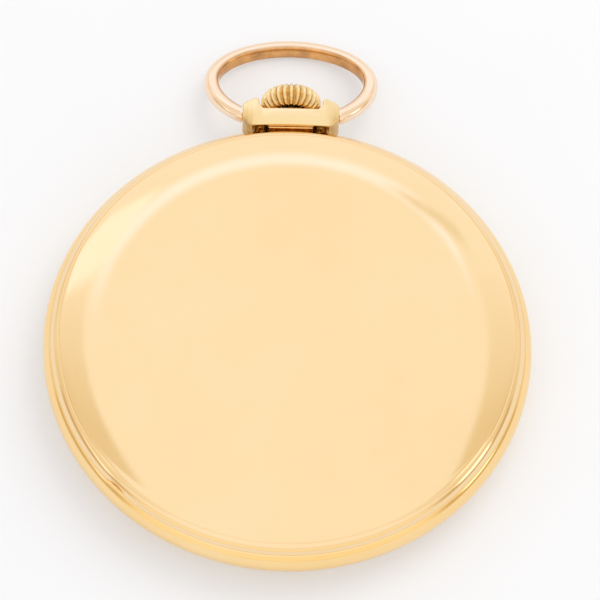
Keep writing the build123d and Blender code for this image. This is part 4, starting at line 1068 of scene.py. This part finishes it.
def between(value, low, high, soft, high_soft=None):
    """One between two limits, falling softly to nothing outside them."""
    far_soft = soft if high_soft is None else high_soft
    rising = add_node(tree, "ShaderNodeMapRange", interpolation_type="SMOOTHSTEP")
    rising.inputs["From Min"].default_value = low - soft
    rising.inputs["From Max"].default_value = low + soft
    tree.links.new(value, rising.inputs["Value"])
    falling = add_node(tree, "ShaderNodeMapRange", interpolation_type="SMOOTHSTEP")
    falling.inputs["From Min"].default_value = high + far_soft
    falling.inputs["From Max"].default_value = high - far_soft
    tree.links.new(value, falling.inputs["Value"])
    return maths("MULTIPLY", rising.outputs["Result"], falling.outputs["Result"])


def hung(colour_socket, mask, colour):
    """Hang a card in the tent: where the mask is one, its colour is seen."""
    node = add_node(tree, "ShaderNodeMix", data_type="RGBA")
    node.inputs["B"].default_value = (*colour, 1)
    tree.links.new(mask, node.inputs["Factor"])
    if isinstance(colour_socket, tuple):
        node.inputs["A"].default_value = (*colour_socket, 1)
    else:
        tree.links.new(colour_socket, node.inputs["A"])
    return node.outputs["Result"]


def card(sideways, lengthways, soft):
    """Mask of a rectangular card overhead, by the reach of its sides."""
    overhead = between(upward, 0.12, 2.0, 0.05)
    inside = maths("MULTIPLY", between(across, *sideways, soft), between(along, *lengthways, soft))
    return maths("MULTIPLY", inside, overhead)


# %% Hang the cards that warm and darken the sides
tent = hung((1.06, 1.06, 1.06), between(upward, -2.0, 0.42, 0.16), (0.92, 0.84, 0.70))
tent = hung(tent, between(upward, -2.0, 0.12, 0.12), (0.90, 0.80, 0.64))
slanted = maths("ADD", across, maths("MULTIPLY", maths("SUBTRACT", along, 0.3), 0.3))
overhead = between(upward, 0.12, 2.0, 0.05)
pale_tan, tan = (0.985, 0.94, 0.85), (0.885, 0.795, 0.62)
for lengthways, colour in (((0.13, 0.50), pale_tan), ((0.13, 0.36), tan)):
    far_end = between(along, *lengthways, 0.012, 0.11)
    for position, reach in ((across, (-0.97, -0.266)), (slanted, (0.305, 0.97))):
        side_card = maths("MULTIPLY", between(position, *reach, 0.018), far_end)
        tent = hung(tent, maths("MULTIPLY", side_card, overhead), colour)
for reach in ((-0.97, -0.42), (0.42, 0.97)):
    tent = hung(tent, card(reach, (-0.36, 0.15), 0.05), (0.92, 0.84, 0.68))

# %% Hang the bright cards over the pendant
tent = hung(tent, card((-0.6, 0.6), (0.70, 0.95), 0.04), (1.06, 1.08, 1.12))
ring_across = maths("POWER", maths("SUBTRACT", across, 0.01), 2.0)
ring_along = maths("POWER", maths("SUBTRACT", along, 0.45), 2.0)
ring_reach = maths("SQRT", maths("ADD", ring_across, ring_along), 0.0)
ring = maths("MULTIPLY", between(ring_reach, 0.165, 0.245, 0.035), between(along, 0.50, 0.9, 0.06))
ring = maths("MULTIPLY", ring, between(across, -0.5, 0.185, 0.008))
ring = maths("MULTIPLY", ring, between(upward, 0.1, 2.0, 0.05))
tent = hung(tent, ring, (1.26, 1.26, 1.62))
tent = hung(tent, card((0.12, 0.25), (0.58, 0.625), 0.02), (0.92, 0.89, 0.76))
tent = hung(tent, card((-0.48, -0.17), (0.53, 0.665), 0.015), (1.28, 1.27, 1.45))

# %% Hang the low cards, seen in the band and the bow


def low_card(tent, sideways, lengthways, height, softness, colour):
    """Hang a card low at one side, by its reach in all three directions."""
    side_soft, long_soft, high_soft = softness
    mask = maths(
        "MULTIPLY", between(across, *sideways, side_soft), between(along, *lengthways, long_soft)
    )
    return hung(tent, maths("MULTIPLY", mask, between(upward, *height, high_soft)), colour)


bronze = (0.70, 0.56, 0.36)
for sideways in ((0.55, 1.2), (-1.2, -0.55)):
    tent = low_card(tent, sideways, (-0.55, 0.16), (0.0, 0.30), (0.06, 0.06, 0.06), bronze)
for sideways, strength in (((0.86, 0.97), 1.9), ((-0.93, -0.82), 1.25)):
    white = (strength, strength, strength)
    tent = low_card(tent, sideways, (-0.36, -0.08), (0.20, 0.42), (0.02, 0.04, 0.04), white)
southern = maths("MULTIPLY", between(along, -1.2, -0.55, 0.12), between(upward, 0.02, 0.40, 0.08))
tent = hung(tent, southern, (1.04, 0.96, 0.77))

# %% Let only reflections see the cards, and add the lamp
mirrored = add_node(tree, "ShaderNodeLightPath").outputs["Is Glossy Ray"]
lit = add_node(tree, "ShaderNodeMix", data_type="RGBA")
lit.inputs["A"].default_value = (0.885, 0.885, 0.915, 1)
tree.links.new(mirrored, lit.inputs["Factor"])
tree.links.new(tent, lit.inputs["B"])
tree.links.new(lit.outputs["Result"], backdrop.inputs["Color"])
backdrop.inputs["Strength"].default_value = 1.0
print("tent nodes", len(tree.nodes))


def soft_lamp(name, place, aim, size, power, colour=(1, 1, 1)):
    """A square area lamp aimed at a point, kept out of reflections."""
    data = bpy.data.lights.new(name, "AREA")
    data.shape = "SQUARE"
    data.size = size
    data.energy = power
    data.color = colour
    lamp = bpy.data.objects.new(name, data)
    bpy.context.scene.collection.objects.link(lamp)
    lamp.location = place
    lamp.rotation_euler = (Vector(aim) - Vector(place)).to_track_quat("-Z", "Y").to_euler()
    lamp.visible_glossy = False
    return lamp


soft_lamp("key_lamp", (0.25, 0.26, 0.50), (0, 0, 0), 0.44, 1.0, (1.0, 0.94, 0.80))

# %% [markdown]
# ## Camera
# A long lens, half a metre away, looks down at the back of the watch with the
# pendant at the top. The camera is turned a little on its own axis.

# %% Place the camera
elevation = math.radians(63.3)
aside = math.radians(1.45)
roll = math.radians(2.45)
distance = 0.450
target = Vector((0, 0, band_middle))
back = Vector((
    -math.sin(aside) * math.cos(elevation),
    -math.cos(aside) * math.cos(elevation),
    math.sin(elevation),
))
camera_data = bpy.data.cameras.new("camera")
camera = bpy.data.objects.new("camera", camera_data)
bpy.context.scene.collection.objects.link(camera)
camera.location = target + back * distance
aim = (-back).to_track_quat("-Z", "Y")
camera.rotation_mode = "QUATERNION"
camera.rotation_quaternion = aim @ Quaternion((0, 0, 1), roll)
camera_data.sensor_width = 36
camera_data.lens = 293.3
camera_data.shift_x = 0.021
camera_data.shift_y = 0.0775
camera_data.clip_start = 0.01
bpy.context.scene.camera = camera
bpy.context.scene.view_settings.view_transform = "Standard"
print("camera at mm", [round(value / mm) for value in camera.location])
